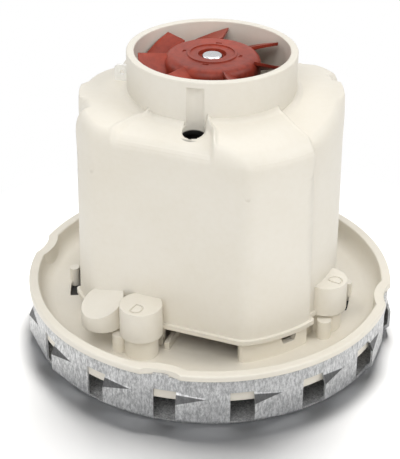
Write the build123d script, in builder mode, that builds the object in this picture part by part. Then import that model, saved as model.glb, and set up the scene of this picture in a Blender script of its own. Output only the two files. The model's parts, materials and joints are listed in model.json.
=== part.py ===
from build123d import *
from math import acos, cos, degrees, radians, sin, sqrt, tan
import os

# Vacuum motor unit: a by-pass motor with a single-stage fan in a louvred steel cup.
# Millimetres and degrees. Z is the spin axis, up towards the cooling fan, and the origin
# is the centre of the cup's flat base. The flat of the motor housing faces -Y.
# Angles are measured from +X towards +Y. What repeats stands on COUNT even steps.

# Allowances shared by every piece
CUT = 2.0
SEAT_GAP = 0.1
SLIDE_GAP = 0.1
AIR_GAP = 0.6
TURN_GAP = 0.4

# Fan cover: deep-drawn sheet steel cup
SHEET = 0.8
COVER_RADIUS = 74.0
COVER_HEIGHT = 21.4
COVER_CORNER = 2.5
INLET_RADIUS = 20.5
INLET_LIP_HEIGHT = 3.0
INLET_LIP_CORNER = 1.2
WINDOW_COUNT = 16
WINDOW_ANGLE = -82.2
WINDOW_ARC = 6.9
WINDOW_BOTTOM = 1.6
WINDOW_TOP = 15.4
LOUVRE_ARC = 9.4
LOUVRE_PROUD = 2.0
LOUVRE_FOLD_HEIGHT = 11.0
LOUVRE_TIP_HEIGHT = 13.3
LOUVRE_FOOT_RISE = 2.2
LOUVRE_LAP = 0.4
LOUVRE_TIP_PROUD = 0.05
LOUVRE_TIP_STEP = 0.3
TAB_WIDTH = 6.0
TAB_REACH = 1.4

# Tray: moulded mounting flange that closes the cup and carries the motor
RIM_OVERHANG = 1.0
RIM_TOP = 23.8
RIM_LEDGE = 21.4
RIM_WIDTH = 3.9
RIM_EDGE = 0.7
SKIRT_BOTTOM = 11.2
SKIRT_WALL = 3.0
FLOOR_OUTER_HEIGHT = 15.0
FLOOR_INNER_HEIGHT = 13.6
FLOOR_INNER_RADIUS = 47.0
FLOOR_COVE = 6.0
NOTCH_COUNT = 4
NOTCH_ANGLE = -83.4
NOTCH_CUTTER = 18.0
NOTCH_DEPTH = 2.2
SEAT_HEIGHT = 23.4
SEAT_WALL = 2.6
SEAT_INSET = 1.1
PORT_COUNT = 4
PORT_ANGLE = -75.0
PORT_ARC = 36.0
SLOT_ANGLE = -35.0
SLOT_HALF_WIDTH = 4.2
SLOT_DEPTH = 5.0
SLOT_TAPER = 1.6
PILLAR_RADIUS = 6.6
COLUMN_RADIUS = 2.8
COLUMN_CIRCLE = 57.0
COLUMN_ANGLE = -107.0
COLUMN_TOP = 22.2
DRAIN_COUNT = 2
DRAIN_ANGLE = 16.0
DRAIN_ARC = 24.0
DRAIN_INNER = 50.6
DRAIN_OUTER = 58.4
DRAIN_POST_RADIUS = 2.0
DRAIN_POST_TOP = 20.5
HUB_WALL = 2.4
HUB_RIB_COUNT = 8
HUB_RIB_WIDTH = 2.0
HUB_RIB_RISE = 3.4

# Fan chamber plate: black partition under the tray that also traps the lower bearing
PLATE_THICKNESS = 1.0
PLATE_MARGIN = 7.1
PLATE_BORE = 9.0
PLATE_SCREW_CIRCLE = 19.2
PLATE_SCREW_COUNT = 3
PLATE_SCREW_ANGLE = 22.5
PLATE_SCREW_RADIUS = 1.5
PLATE_SCREW_HEAD = 2.8
PLATE_SCREW_GRIP = 5.0
PLATE_BOSS_RADIUS = 3.6
PLATE_BOSS_RISE = 5.6
COUNTERSINK = 45.0
DRIVE_SLOT_WIDTH = 0.8
DRIVE_SLOT_DEPTH = 0.5

# Motor housing: one moulding with the collar, shoulders, flat sides and screw bosses
WING_RADIUS = 55.7
SIDE_RADIUS = 52.4
FLAT_DISTANCE = 46.3
HOUSING_TAPER = 0.9
HOUSING_WALL = 2.5
HOUSING_CORNER = 1.5
FLAT_CORNER = 10.0
ROUND_STEPS = ((0, 0), (1.2, 0.25), (2.3, 0.95), (3.2, 2.2), (4.0, 4.2))
WING_AFTER = 66.0
WING_BEFORE = 50.0
CREASE_HEIGHT = 100.0
CEILING_HEIGHT = 97.3
COLLAR_RADIUS = 32.8
COLLAR_BORE = 29.8
COLLAR_TOP = 121.8
COLLAR_EDGE = 0.5
LOW_FOOT = 104.5
MID_FOOT = 106.4
MID_BULGE = 1.4
BLOCK_BASE = 100.4
BLOCK_TOP = 104.6
BLOCK_ROUND = 3.6
PILLOW_FRONT = 31.0
PILLOW_BACK = 4.0
FIN_WIDTH = 2.0
LOW_START = -116.0
LOW_ARC = 47.0
MID_ARC = 43.0
RIDGE_ANGLE = 19.0
SIDE_ARC = 90.0
CHANNEL_ANGLE = -80.0
CHANNEL_CIRCLE = 35.2
CHANNEL_RADIUS = 4.2
CHANNEL_STOP = 2.4
POCKET_RADIUS = 5.4
POCKET_DEPTH = 3.0
LIP_PROUD = 1.2
LIP_HEIGHT = 1.9
BOSS_COUNT = 4
BOSS_ANGLE = -99.0
BOSS_CIRCLE = 53.0
BOSS_RADIUS = 8.4
BOSS_TOP = 36.0
LOBE_ANGLE = -116.0
LOBE_CIRCLE = 57.0
LOBE_RADIUS = 8.4
LOBE_TOP = 37.2
LOBE_DROP = 8.0
MARK_RADIUS = 3.0
MARK_LINE = 0.6
MARK_SHIFT = 1.4
MARK_DEPTH = 0.5
MARK_OFFSET = 3.6
SPIDER_COUNT = 4
SPIDER_ANGLE = 45.0
SPIDER_WIDTH = 5.0
SPIDER_TOP = 104.6
THROAT_RADIUS = 27.0
BEARING_CAP = 1.6
POST_RADIUS = 4.0
POST_DISTANCE = 40.0

# Housing screws, driven up through the tray into blind bosses
SCREW_RADIUS = 2.0
SCREW_HEAD_RADIUS = 4.0
SCREW_HEAD_HEIGHT = 2.6
SCREW_RECESS = 3.2
SCREW_GRIP = 10.0
SCREW_SOCKET_WIDTH = 3.0
SCREW_SOCKET_DEPTH = 1.4

# Ball bearings, 8 x 22 x 7, each in a rubber sleeve
BEARING_RADIUS = 11.0
BEARING_WIDTH = 7.0
BEARING_RACE = 2.2
BALL_RADIUS = 1.9
BALL_COUNT = 7
BALL_GAP = 0.05
SLEEVE_WALL = 1.2
UPPER_BEARING_TOP = 104.4

# Shaft and armature
SHAFT_RADIUS = 4.0
SHAFT_BODY_RADIUS = 5.0
SHAFT_TOP = 119.6
SHAFT_BOTTOM = 2.4
SHAFT_DOME = 1.0
STACK_BOTTOM = 38.0
STACK_HEIGHT = 38.0
ARMATURE_RADIUS = 21.5
ARMATURE_SLOTS = 12
SLOT_MOUTH = 1.8
SLOT_RADIUS = 2.6
SLOT_CIRCLE = 16.4
HEAD_INNER = 6.6
HEAD_OUTER = 20.0
HEAD_HEIGHT = 7.0
HEAD_ROUND = 2.6
COMMUTATOR_RADIUS = 11.5
COMMUTATOR_RISER = 13.0
COMMUTATOR_BOTTOM = 83.0
COMMUTATOR_TOP = 96.0
RISER_HEIGHT = 1.8
BAR_COUNT = 24
BAR_SLIT = 0.5
BAR_SLIT_DEPTH = 0.8

# Field: laminated stator with two coils
STATOR_RADIUS = 45.0
STATOR_FLAT = 41.0
STATOR_YOKE = 35.0
POLE_SHOE = 4.2
POLE_TIP_GAP = 76.0
WINDOW_SPAN = 134.0
COIL_SPAN = 86.0
COIL_CORE_SPAN = 50.0
COIL_GAP = 0.5
COIL_HEAD = 8.0
STATOR_SCREW_RADIUS = 1.9
STATOR_SCREW_HEAD = 3.6
STATOR_SCREW_GRIP = 12.0

# Brush gear
BRUSH_ANGLE = 19.0
BRUSH_WIDTH = 6.3
BRUSH_HEIGHT = 10.0
BRUSH_LENGTH = 19.0
BRUSH_CENTRE_HEIGHT = 90.2
HOLDER_WALL = 0.7
HOLDER_INNER = 15.0
HOLDER_OUTER = 41.6
HOLDER_CAP = 0.8
CRADLE_INNER = 20.0
CRADLE_OUTER = 38.0
CRADLE_WALL = 2.4
BRUSH_PEG = 1.5
SPRING_RADIUS = 2.2
SPRING_WIRE = 0.45
WIRE_SIDES = 4
SPRING_TURNS = 5
SPRING_SIDES = 8
BLADE_WIDTH = 6.3
BLADE_THICKNESS = 0.8
BLADE_CIRCLE = 36.0
BLADE_TOP = 111.6
BLADE_BOTTOM = 92.0
BLADE_ANGLES = (-172.5, -214.0)
BLADE_NOSE = 1.2
BLADE_HOLE = 0.9

# Cooling fan on the upper shaft end
FAN_HUB_RADIUS = 18.6
FAN_HUB_TOP = 119.8
FAN_HUB_SKIRT = 8.6
FAN_HUB_ROUND = 3.6
FAN_HUB_WALL = 2.2
FAN_BOSS_RADIUS = 7.5
FAN_RING_RADIUS = 8.6
FAN_RING_WIDTH = 1.0
FAN_RING_RISE = 0.4
FAN_RECESS_RADIUS = 5.4
FAN_RECESS_DEPTH = 1.6
FAN_MARK_COUNT = 4
FAN_MARK_LENGTH = 2.4
FAN_MARK_WIDTH = 1.2
FAN_MARK_CIRCLE = 11.0
FAN_TIP_RADIUS = 28.4
BLADE_COUNT = 7
FAN_BLADE_ANGLE = 97.6
FAN_BLADE_SWEEP = 37.0
FAN_BLADE_SHEET = 1.3
FAN_BLADE_DROP = 7.0
FAN_STATIONS = 4
FAN_BLADE_ROOT = 1.2

# Impeller
IMPELLER_RADIUS = 62.0
IMPELLER_SHEET = 0.8
IMPELLER_TOP = 10.4
IMPELLER_EYE = 21.6
EYE_HEIGHT = 3.4
EYE_RIM_HEIGHT = 4.2
VANE_COUNT = 9
VANE_SHEET = 1.0
VANE_INNER = 24.0
VANE_BACKSWEEP = 62.0
VANE_BOW = 0.62
CLAMP_RADIUS = 12.0
CLAMP_THICKNESS = 1.0
NUT_FLATS = 13.0
NUT_SIDES = 6
NUT_HEIGHT = 5.6
NUT_CHAMFER = 0.8

# Places worked out from the sizes above
COVER_INNER = COVER_RADIUS - SHEET
SKIRT_RADIUS = COVER_INNER - SEAT_GAP
SKIRT_INNER = SKIRT_RADIUS - SKIRT_WALL
RIM_RADIUS = COVER_RADIUS + RIM_OVERHANG
PLATE_RADIUS = SKIRT_INNER - PLATE_MARGIN
NOTCH_CENTRE = RIM_RADIUS + NOTCH_CUTTER - NOTCH_DEPTH
TRAY_UNDERSIDE = SKIRT_BOTTOM + PLATE_THICKNESS
SLEEVE_RADIUS = BEARING_RADIUS + SLEEVE_WALL
HUB_RADIUS = SLEEVE_RADIUS + HUB_WALL
LOWER_BEARING_TOP = TRAY_UNDERSIDE + BEARING_WIDTH
HUB_TOP = LOWER_BEARING_TOP + BEARING_CAP
UPPER_BEARING_BOTTOM = UPPER_BEARING_TOP - BEARING_WIDTH
TOP_SHRINK = (CREASE_HEIGHT - SEAT_HEIGHT) * tan(radians(HOUSING_TAPER))
CEILING_SHRINK = (CEILING_HEIGHT - SEAT_HEIGHT) * tan(radians(HOUSING_TAPER))
TOP_SIDE = SIDE_RADIUS - TOP_SHRINK
TOP_WING = WING_RADIUS - TOP_SHRINK
TOP_FLAT = FLAT_DISTANCE - TOP_SHRINK
STACK_TOP = STACK_BOTTOM + STACK_HEIGHT
HOLDER_WIDTH = BRUSH_WIDTH + 2 * (SLIDE_GAP + HOLDER_WALL)
HOLDER_HEIGHT = BRUSH_HEIGHT + 2 * (SLIDE_GAP + HOLDER_WALL)
BRUSH_INNER = COMMUTATOR_RADIUS + SLIDE_GAP
BRUSH_OUTER = BRUSH_INNER + BRUSH_LENGTH
SPRING_START = BRUSH_OUTER + SPRING_WIRE + SEAT_GAP
SPRING_LENGTH = HOLDER_OUTER - HOLDER_CAP - SPRING_WIRE - SEAT_GAP - SPRING_START
CRADLE_HALF_WIDTH = HOLDER_WIDTH / 2 + SEAT_GAP + CRADLE_WALL
BLADE_INNER = BLADE_CIRCLE - BLADE_WIDTH / 2
BALL_CIRCLE = (SHAFT_RADIUS + BEARING_RADIUS) / 2
STATOR_BORE = ARMATURE_RADIUS + AIR_GAP
SCREW_HEAD_BOTTOM = TRAY_UNDERSIDE + SCREW_RECESS - SCREW_HEAD_HEIGHT
WASHER_BOTTOM = IMPELLER_TOP - IMPELLER_SHEET - CLAMP_THICKNESS
VANE_MIDDLE = (VANE_INNER + IMPELLER_RADIUS) / 2
VANE_ANGLE_IN = degrees(VANE_SHEET / VANE_INNER)
VANE_ANGLE_MID = degrees(VANE_SHEET / VANE_MIDDLE)
VANE_ANGLE_OUT = degrees(VANE_SHEET / IMPELLER_RADIUS)
MID_START = LOW_START + LOW_ARC
FAN_HUB_BOTTOM = FAN_HUB_TOP - FAN_HUB_SKIRT
PILLOW_RISE = BLOCK_TOP - BLOCK_BASE
PILLOW_CHORD = sqrt(PILLOW_FRONT**2 + PILLOW_RISE**2)
PILLOW_RADIUS = PILLOW_CHORD**2 / (2 * PILLOW_RISE)
PILLOW_SAGITTA = PILLOW_RADIUS - sqrt(PILLOW_RADIUS**2 - PILLOW_CHORD**2 / 4)
LOUVRE_INNER = COVER_INNER + SHEET / 2
LOUVRE_LAP_ANGLE = degrees(LOUVRE_LAP / COVER_RADIUS)
LOUVRE_STATIONS = (
    (WINDOW_ARC / 2, LOUVRE_PROUD, LOUVRE_FOOT_RISE, LOUVRE_FOLD_HEIGHT, WINDOW_TOP),
    (
        WINDOW_ARC / 2 + LOUVRE_ARC,
        LOUVRE_TIP_PROUD,
        LOUVRE_TIP_STEP,
        LOUVRE_TIP_HEIGHT - LOUVRE_TIP_STEP,
        LOUVRE_TIP_HEIGHT,
    ),
)


def polar(radius, angle):
    """Point at a radius and an angle on the working plane."""
    return (radius * cos(radians(angle)), radius * sin(radians(angle)))


def turned(angle):
    """Upright plane through the spin axis: local X is radial, local Y is up."""
    return Plane.XZ.rotated((0, 0, angle))


def across(radius, angle, height):
    """Upright plane that faces outwards: local X is tangential, local Y is up."""
    return Plane(
        origin=(*polar(radius, angle), height),
        x_dir=(-sin(radians(angle)), cos(radians(angle)), 0),
        z_dir=(cos(radians(angle)), sin(radians(angle)), 0),
    )


def spring_point(angle, k):
    """Corner number k of the wire of the brush spring that lies along an angle."""
    twist = k * 360 / SPRING_SIDES
    along = SPRING_START + SPRING_LENGTH * k / (SPRING_SIDES * SPRING_TURNS)
    out, up = polar(SPRING_RADIUS, twist)
    return (
        along * cos(radians(angle)) - out * sin(radians(angle)),
        along * sin(radians(angle)) + out * cos(radians(angle)),
        BRUSH_CENTRE_HEIGHT + up,
    )


def outline(points, mode=Mode.ADD):
    """Closed straight-sided face through the points."""
    with BuildLine() as edge:
        Polyline(*points, close=True)
    make_face(edge.edges(), mode=mode)


def ring_sector(inner, outer, start, arc, mode=Mode.ADD):
    """Face between two radii and two angles."""
    with BuildLine() as edge:
        CenterArc((0, 0), inner, start, arc)
        CenterArc((0, 0), outer, start, arc)
        Line(polar(inner, start), polar(outer, start))
        Line(polar(inner, start + arc), polar(outer, start + arc))
    make_face(edge.edges(), mode=mode)


def housing_plan(shrink):
    """Plan of the housing wall: two flats between wings, and two sides set back from them."""
    wing = WING_RADIUS - shrink
    side = SIDE_RADIUS - shrink
    step = degrees(shrink / WING_RADIUS)
    half_flat = degrees(acos((FLAT_DISTANCE - shrink) / wing))
    with BuildLine() as edge:
        for middle in (-90, 90):
            wing_end = middle + WING_AFTER - step
            wing_start = middle + 180 - WING_BEFORE + step
            Line(polar(wing, middle - half_flat), polar(wing, middle + half_flat))
            CenterArc((0, 0), wing, middle + half_flat, wing_end - middle - half_flat)
            Line(polar(wing, wing_end), polar(side, wing_end))
            CenterArc((0, 0), side, wing_end, wing_start - wing_end)
            Line(polar(side, wing_start), polar(wing, wing_start))
            CenterArc((0, 0), wing, wing_start, middle + 180 - half_flat - wing_start)
    make_face(edge.edges())


def round_plan(plan):
    """Round a plan of the housing: small corners first, then the soft ends of the flats."""
    rows = plan.vertices().group_by(Axis.Y)
    fillet([corner for row in rows[1:-1] for corner in row], HOUSING_CORNER)
    rows = plan.vertices().group_by(Axis.Y)
    fillet([*rows[0], *rows[-1]], FLAT_CORNER)


def round_corner(sketch, point, radius):
    """Round the corner of a sketch that lies nearest to a point."""
    fillet(sketch.vertices().sort_by_distance(point)[0], radius)


def keep(block, name):
    """Label a finished piece and write it."""
    block.part.label = name
    export_step(block.part, f"parts/{name}.step")


os.makedirs("parts", exist_ok=True)

# Fan cover: one louvre, the hollow behind it, then the cup
with BuildPart() as louvre_skin:
    for angle, proud, foot, fold, top in LOUVRE_STATIONS:
        with BuildSketch(turned(angle)):
            outline([
                (LOUVRE_INNER, WINDOW_BOTTOM),
                (COVER_RADIUS, WINDOW_BOTTOM),
                (COVER_RADIUS + proud, WINDOW_BOTTOM + foot),
                (COVER_RADIUS + proud, fold),
                (COVER_RADIUS, top),
                (LOUVRE_INNER, top),
            ])
    loft(ruled=True)

with BuildPart() as louvre_hollow:
    for angle, proud, foot, fold, top in LOUVRE_STATIONS:
        with BuildSketch(turned(angle - LOUVRE_LAP_ANGLE)):
            outline([
                (COVER_INNER - SHEET, WINDOW_BOTTOM + foot / 2),
                (COVER_INNER, WINDOW_BOTTOM + foot / 2),
                (COVER_INNER + proud, WINDOW_BOTTOM + foot + foot / 2),
                (COVER_INNER + proud, fold),
                (COVER_INNER, top - SHEET),
                (COVER_INNER - SHEET, top - SHEET),
            ])
    loft(ruled=True)

with BuildPart() as fan_cover:
    with BuildSketch(Plane.XZ) as section:
        with BuildLine():
            Polyline(
                (INLET_RADIUS, INLET_LIP_HEIGHT),
                (INLET_RADIUS, 0),
                (COVER_RADIUS, 0),
                (COVER_RADIUS, COVER_HEIGHT),
                (COVER_INNER, COVER_HEIGHT),
                (COVER_INNER, SHEET),
                (INLET_RADIUS + SHEET, SHEET),
                (INLET_RADIUS + SHEET, INLET_LIP_HEIGHT),
                close=True,
            )
        make_face()
        round_corner(section, (COVER_RADIUS, 0), COVER_CORNER)
        round_corner(section, (COVER_INNER, SHEET), COVER_CORNER - SHEET)
        round_corner(section, (INLET_RADIUS, 0), INLET_LIP_CORNER)
    revolve(axis=Axis.Z)
    with PolarLocations(0, WINDOW_COUNT, start_angle=WINDOW_ANGLE):
        add(louvre_skin.part)
    with PolarLocations(0, WINDOW_COUNT, start_angle=WINDOW_ANGLE):
        add(louvre_hollow.part, mode=Mode.SUBTRACT)
    with BuildSketch(Plane.XY.offset(WINDOW_BOTTOM)):
        for k in range(WINDOW_COUNT):
            ring_sector(
                COVER_INNER - CUT,
                COVER_RADIUS + CUT + LOUVRE_PROUD,
                WINDOW_ANGLE + k * 360 / WINDOW_COUNT - WINDOW_ARC / 2,
                WINDOW_ARC,
            )
    extrude(amount=WINDOW_TOP - WINDOW_BOTTOM, mode=Mode.SUBTRACT)
    with BuildSketch(Plane.XY.offset(COVER_HEIGHT)):
        with PolarLocations(COVER_RADIUS - TAB_REACH / 2, NOTCH_COUNT, start_angle=NOTCH_ANGLE):
            Rectangle(TAB_REACH, TAB_WIDTH)
        Circle(COVER_RADIUS, mode=Mode.INTERSECT)
    extrude(amount=SHEET)
keep(fan_cover, "fan_cover")

# Tray: the wall that the housing stands on, then the tray itself
with BuildPart() as seat_wall:
    with BuildSketch(Plane.XY.offset(TRAY_UNDERSIDE)):
        housing_plan(SEAT_INSET)
    extrude(amount=SEAT_HEIGHT - TRAY_UNDERSIDE)
    with BuildSketch(Plane.XY.offset(TRAY_UNDERSIDE)):
        housing_plan(SEAT_INSET + SEAT_WALL)
    extrude(amount=SEAT_HEIGHT - TRAY_UNDERSIDE, mode=Mode.SUBTRACT)
    with BuildSketch(Plane.XY.offset(TRAY_UNDERSIDE)):
        for k in range(PORT_COUNT):
            ring_sector(
                HUB_RADIUS,
                RIM_RADIUS,
                PORT_ANGLE - PORT_ARC / 2 + k * 360 / PORT_COUNT,
                PORT_ARC,
            )
    extrude(amount=SEAT_HEIGHT - TRAY_UNDERSIDE, mode=Mode.SUBTRACT)

with BuildPart() as tray:
    with BuildSketch(Plane.XZ) as section:
        outline([
            (0, TRAY_UNDERSIDE),
            (SKIRT_INNER, TRAY_UNDERSIDE),
            (SKIRT_INNER, SKIRT_BOTTOM),
            (SKIRT_RADIUS, SKIRT_BOTTOM),
            (SKIRT_RADIUS, RIM_LEDGE),
            (RIM_RADIUS, RIM_LEDGE),
            (RIM_RADIUS, RIM_TOP),
            (RIM_RADIUS - RIM_WIDTH, RIM_TOP),
            (SKIRT_INNER, FLOOR_OUTER_HEIGHT),
            (FLOOR_INNER_RADIUS, FLOOR_INNER_HEIGHT),
            (0, FLOOR_INNER_HEIGHT),
        ])
        round_corner(section, (SKIRT_INNER, FLOOR_OUTER_HEIGHT), FLOOR_COVE)
        round_corner(section, (RIM_RADIUS, RIM_TOP), RIM_EDGE)
        round_corner(section, (RIM_RADIUS - RIM_WIDTH, RIM_TOP), RIM_EDGE)
    revolve(axis=Axis.Z)
    with BuildSketch(Plane.XY.offset(FLOOR_INNER_HEIGHT)):
        with PolarLocations(NOTCH_CENTRE, NOTCH_COUNT, start_angle=NOTCH_ANGLE):
            Circle(NOTCH_CUTTER + RIM_WIDTH)
        Circle(SKIRT_RADIUS - SKIRT_WALL / 2, mode=Mode.INTERSECT)
    extrude(amount=RIM_TOP - FLOOR_INNER_HEIGHT)
    with BuildSketch(Plane.XY.offset(RIM_LEDGE)):
        with PolarLocations(NOTCH_CENTRE, NOTCH_COUNT, start_angle=NOTCH_ANGLE):
            Circle(NOTCH_CUTTER)
    extrude(amount=RIM_TOP, mode=Mode.SUBTRACT)
    add(seat_wall.part)
    with BuildSketch(Plane.XY.offset(TRAY_UNDERSIDE)):
        with PolarLocations(BOSS_CIRCLE, BOSS_COUNT, start_angle=BOSS_ANGLE):
            Circle(PILLAR_RADIUS)
    extrude(amount=SEAT_HEIGHT - TRAY_UNDERSIDE)
    with BuildSketch(Plane.XY.offset(TRAY_UNDERSIDE)):
        with PolarLocations(COLUMN_CIRCLE, BOSS_COUNT, start_angle=COLUMN_ANGLE):
            Circle(COLUMN_RADIUS)
    extrude(amount=COLUMN_TOP - TRAY_UNDERSIDE)
    with BuildSketch(Plane.XY.offset(TRAY_UNDERSIDE)):
        Circle(HUB_RADIUS)
    extrude(amount=HUB_TOP - TRAY_UNDERSIDE)
    with BuildSketch(Plane.XY.offset(TRAY_UNDERSIDE)):
        with PolarLocations(FLOOR_INNER_RADIUS / 2, HUB_RIB_COUNT):
            Rectangle(FLOOR_INNER_RADIUS, HUB_RIB_WIDTH)
    extrude(amount=FLOOR_INNER_HEIGHT + HUB_RIB_RISE - TRAY_UNDERSIDE)
    with BuildSketch(Plane.XY.offset(TRAY_UNDERSIDE)):
        with PolarLocations(PLATE_SCREW_CIRCLE, PLATE_SCREW_COUNT, start_angle=PLATE_SCREW_ANGLE):
            Circle(PLATE_BOSS_RADIUS)
    extrude(amount=PLATE_BOSS_RISE)
    for k in range(PORT_COUNT):
        slot_middle = SLOT_ANGLE + k * 360 / PORT_COUNT
        with BuildSketch(across(FLOOR_INNER_RADIUS - CUT, slot_middle, SEAT_HEIGHT)):
            outline([
                (-SLOT_HALF_WIDTH, CUT),
                (-SLOT_HALF_WIDTH, 0),
                (SLOT_TAPER - SLOT_HALF_WIDTH, -SLOT_DEPTH),
                (SLOT_HALF_WIDTH - SLOT_TAPER, -SLOT_DEPTH),
                (SLOT_HALF_WIDTH, 0),
                (SLOT_HALF_WIDTH, CUT),
            ])
        extrude(amount=WING_RADIUS - FLOOR_INNER_RADIUS + 2 * CUT, mode=Mode.SUBTRACT)
    with BuildSketch(Plane.XY.offset(TRAY_UNDERSIDE)):
        for k in range(DRAIN_COUNT):
            ring_sector(
                DRAIN_INNER,
                DRAIN_OUTER,
                DRAIN_ANGLE - DRAIN_ARC / 2 + k * 360 / DRAIN_COUNT,
                DRAIN_ARC,
            )
    extrude(amount=RIM_TOP - TRAY_UNDERSIDE, mode=Mode.SUBTRACT)
    with BuildSketch(Plane.XY.offset(TRAY_UNDERSIDE)):
        with PolarLocations(DRAIN_OUTER - DRAIN_POST_RADIUS / 2, DRAIN_COUNT, start_angle=DRAIN_ANGLE):
            Circle(DRAIN_POST_RADIUS)
    extrude(amount=DRAIN_POST_TOP - TRAY_UNDERSIDE)
    with BuildSketch(Plane.XY.offset(TRAY_UNDERSIDE)):
        Circle(SLEEVE_RADIUS)
    extrude(amount=BEARING_WIDTH, mode=Mode.SUBTRACT)
    with BuildSketch(Plane.XY.offset(TRAY_UNDERSIDE)):
        Circle(SHAFT_BODY_RADIUS + TURN_GAP)
    extrude(amount=HUB_TOP - TRAY_UNDERSIDE, mode=Mode.SUBTRACT)
    with BuildSketch(Plane.XY.offset(TRAY_UNDERSIDE)):
        with PolarLocations(BOSS_CIRCLE, BOSS_COUNT, start_angle=BOSS_ANGLE):
            Circle(SCREW_RADIUS + SEAT_GAP)
    extrude(amount=RIM_TOP, mode=Mode.SUBTRACT)
    with BuildSketch(Plane.XY.offset(TRAY_UNDERSIDE)):
        with PolarLocations(BOSS_CIRCLE, BOSS_COUNT, start_angle=BOSS_ANGLE):
            Circle(SCREW_HEAD_RADIUS + SEAT_GAP)
    extrude(amount=SCREW_RECESS, mode=Mode.SUBTRACT)
    with BuildSketch(Plane.XY.offset(TRAY_UNDERSIDE)):
        with PolarLocations(PLATE_SCREW_CIRCLE, PLATE_SCREW_COUNT, start_angle=PLATE_SCREW_ANGLE):
            Circle(PLATE_SCREW_RADIUS)
    extrude(amount=PLATE_BOSS_RISE, mode=Mode.SUBTRACT)
keep(tray, "tray")

# Fan chamber plate and its countersunk screws
with BuildPart() as fan_chamber_plate:
    with BuildSketch(Plane.XY.offset(SKIRT_BOTTOM)):
        Circle(PLATE_RADIUS)
        Circle(PLATE_BORE, mode=Mode.SUBTRACT)
        with PolarLocations(BOSS_CIRCLE, BOSS_COUNT, start_angle=BOSS_ANGLE):
            Circle(SCREW_HEAD_RADIUS + TURN_GAP, mode=Mode.SUBTRACT)
    extrude(amount=PLATE_THICKNESS)
    with BuildSketch(Plane.XY.offset(SKIRT_BOTTOM)):
        with PolarLocations(PLATE_SCREW_CIRCLE, PLATE_SCREW_COUNT, start_angle=PLATE_SCREW_ANGLE):
            Circle(PLATE_SCREW_HEAD)
    extrude(amount=PLATE_THICKNESS, taper=COUNTERSINK, mode=Mode.SUBTRACT)
keep(fan_chamber_plate, "fan_chamber_plate")

with BuildPart() as plate_screws:
    with BuildSketch(Plane.XY.offset(SKIRT_BOTTOM)):
        with PolarLocations(PLATE_SCREW_CIRCLE, PLATE_SCREW_COUNT, start_angle=PLATE_SCREW_ANGLE):
            Circle(PLATE_SCREW_HEAD)
    extrude(amount=PLATE_THICKNESS, taper=COUNTERSINK)
    with BuildSketch(Plane.XY.offset(TRAY_UNDERSIDE)):
        with PolarLocations(PLATE_SCREW_CIRCLE, PLATE_SCREW_COUNT, start_angle=PLATE_SCREW_ANGLE):
            Circle(PLATE_SCREW_RADIUS)
    extrude(amount=PLATE_SCREW_GRIP)
    with BuildSketch(Plane.XY.offset(SKIRT_BOTTOM)):
        with PolarLocations(PLATE_SCREW_CIRCLE, PLATE_SCREW_COUNT, start_angle=PLATE_SCREW_ANGLE):
            Rectangle(PLATE_SCREW_HEAD, DRIVE_SLOT_WIDTH)
            Rectangle(DRIVE_SLOT_WIDTH, PLATE_SCREW_HEAD)
    extrude(amount=DRIVE_SLOT_DEPTH, mode=Mode.SUBTRACT)
keep(plate_screws, "plate_screws")

# Motor housing: shoulder panels, roof, sloped lobe, then the moulding itself
with BuildPart() as low_panel:
    with BuildSketch(Plane.YZ):
        outline([
            (0, CEILING_HEIGHT),
            (0, LOW_FOOT),
            (-COLLAR_RADIUS, LOW_FOOT),
            (-TOP_FLAT, CREASE_HEIGHT),
            (-WING_RADIUS, CREASE_HEIGHT),
            (-WING_RADIUS, CEILING_HEIGHT),
        ])
    extrude(amount=WING_RADIUS, both=True)
    with BuildSketch(Plane.XY.offset(CEILING_HEIGHT)):
        ring_sector(HUB_RADIUS, WING_RADIUS, LOW_START, LOW_ARC)
    extrude(amount=MID_FOOT - CEILING_HEIGHT, mode=Mode.INTERSECT)

with BuildPart() as pillow:
    with BuildSketch(across(HUB_RADIUS, RIDGE_ANGLE, BLOCK_BASE)):
        with BuildLine() as edge:
            SagittaArc((-PILLOW_FRONT, 0), (0, PILLOW_RISE), PILLOW_SAGITTA)
            Line((0, PILLOW_RISE), (PILLOW_BACK, 0))
            Line((PILLOW_BACK, 0), (-PILLOW_FRONT, 0))
        make_face(edge.edges())
    extrude(amount=WING_RADIUS - HUB_RADIUS)
    with BuildSketch(Plane.XZ) as section:
        outline([
            (0, CEILING_HEIGHT),
            (0, BLOCK_TOP),
            (TOP_SIDE, BLOCK_TOP),
            (TOP_SIDE, CEILING_HEIGHT),
        ])
        round_corner(section, (TOP_SIDE, BLOCK_TOP), BLOCK_ROUND)
    revolve(axis=Axis.Z, mode=Mode.INTERSECT)

with BuildPart() as fin:
    with BuildSketch(across(HUB_RADIUS, RIDGE_ANGLE, CEILING_HEIGHT)):
        outline([
            (0, 0),
            (0, BLOCK_TOP - CEILING_HEIGHT),
            (-FIN_WIDTH, BLOCK_TOP - CEILING_HEIGHT),
            (-FIN_WIDTH, 0),
        ])
    extrude(amount=TOP_SIDE - HUB_RADIUS)

with BuildPart() as side_block:
    with BuildSketch(turned(LOW_START + LOW_ARC + MID_ARC)):
        outline([
            (HUB_RADIUS, CEILING_HEIGHT),
            (HUB_RADIUS, BLOCK_BASE),
            (WING_RADIUS, BLOCK_BASE),
            (WING_RADIUS, CEILING_HEIGHT),
        ])
    revolve(axis=Axis.Z, revolution_arc=SIDE_ARC)
    add(pillow.part)

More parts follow.
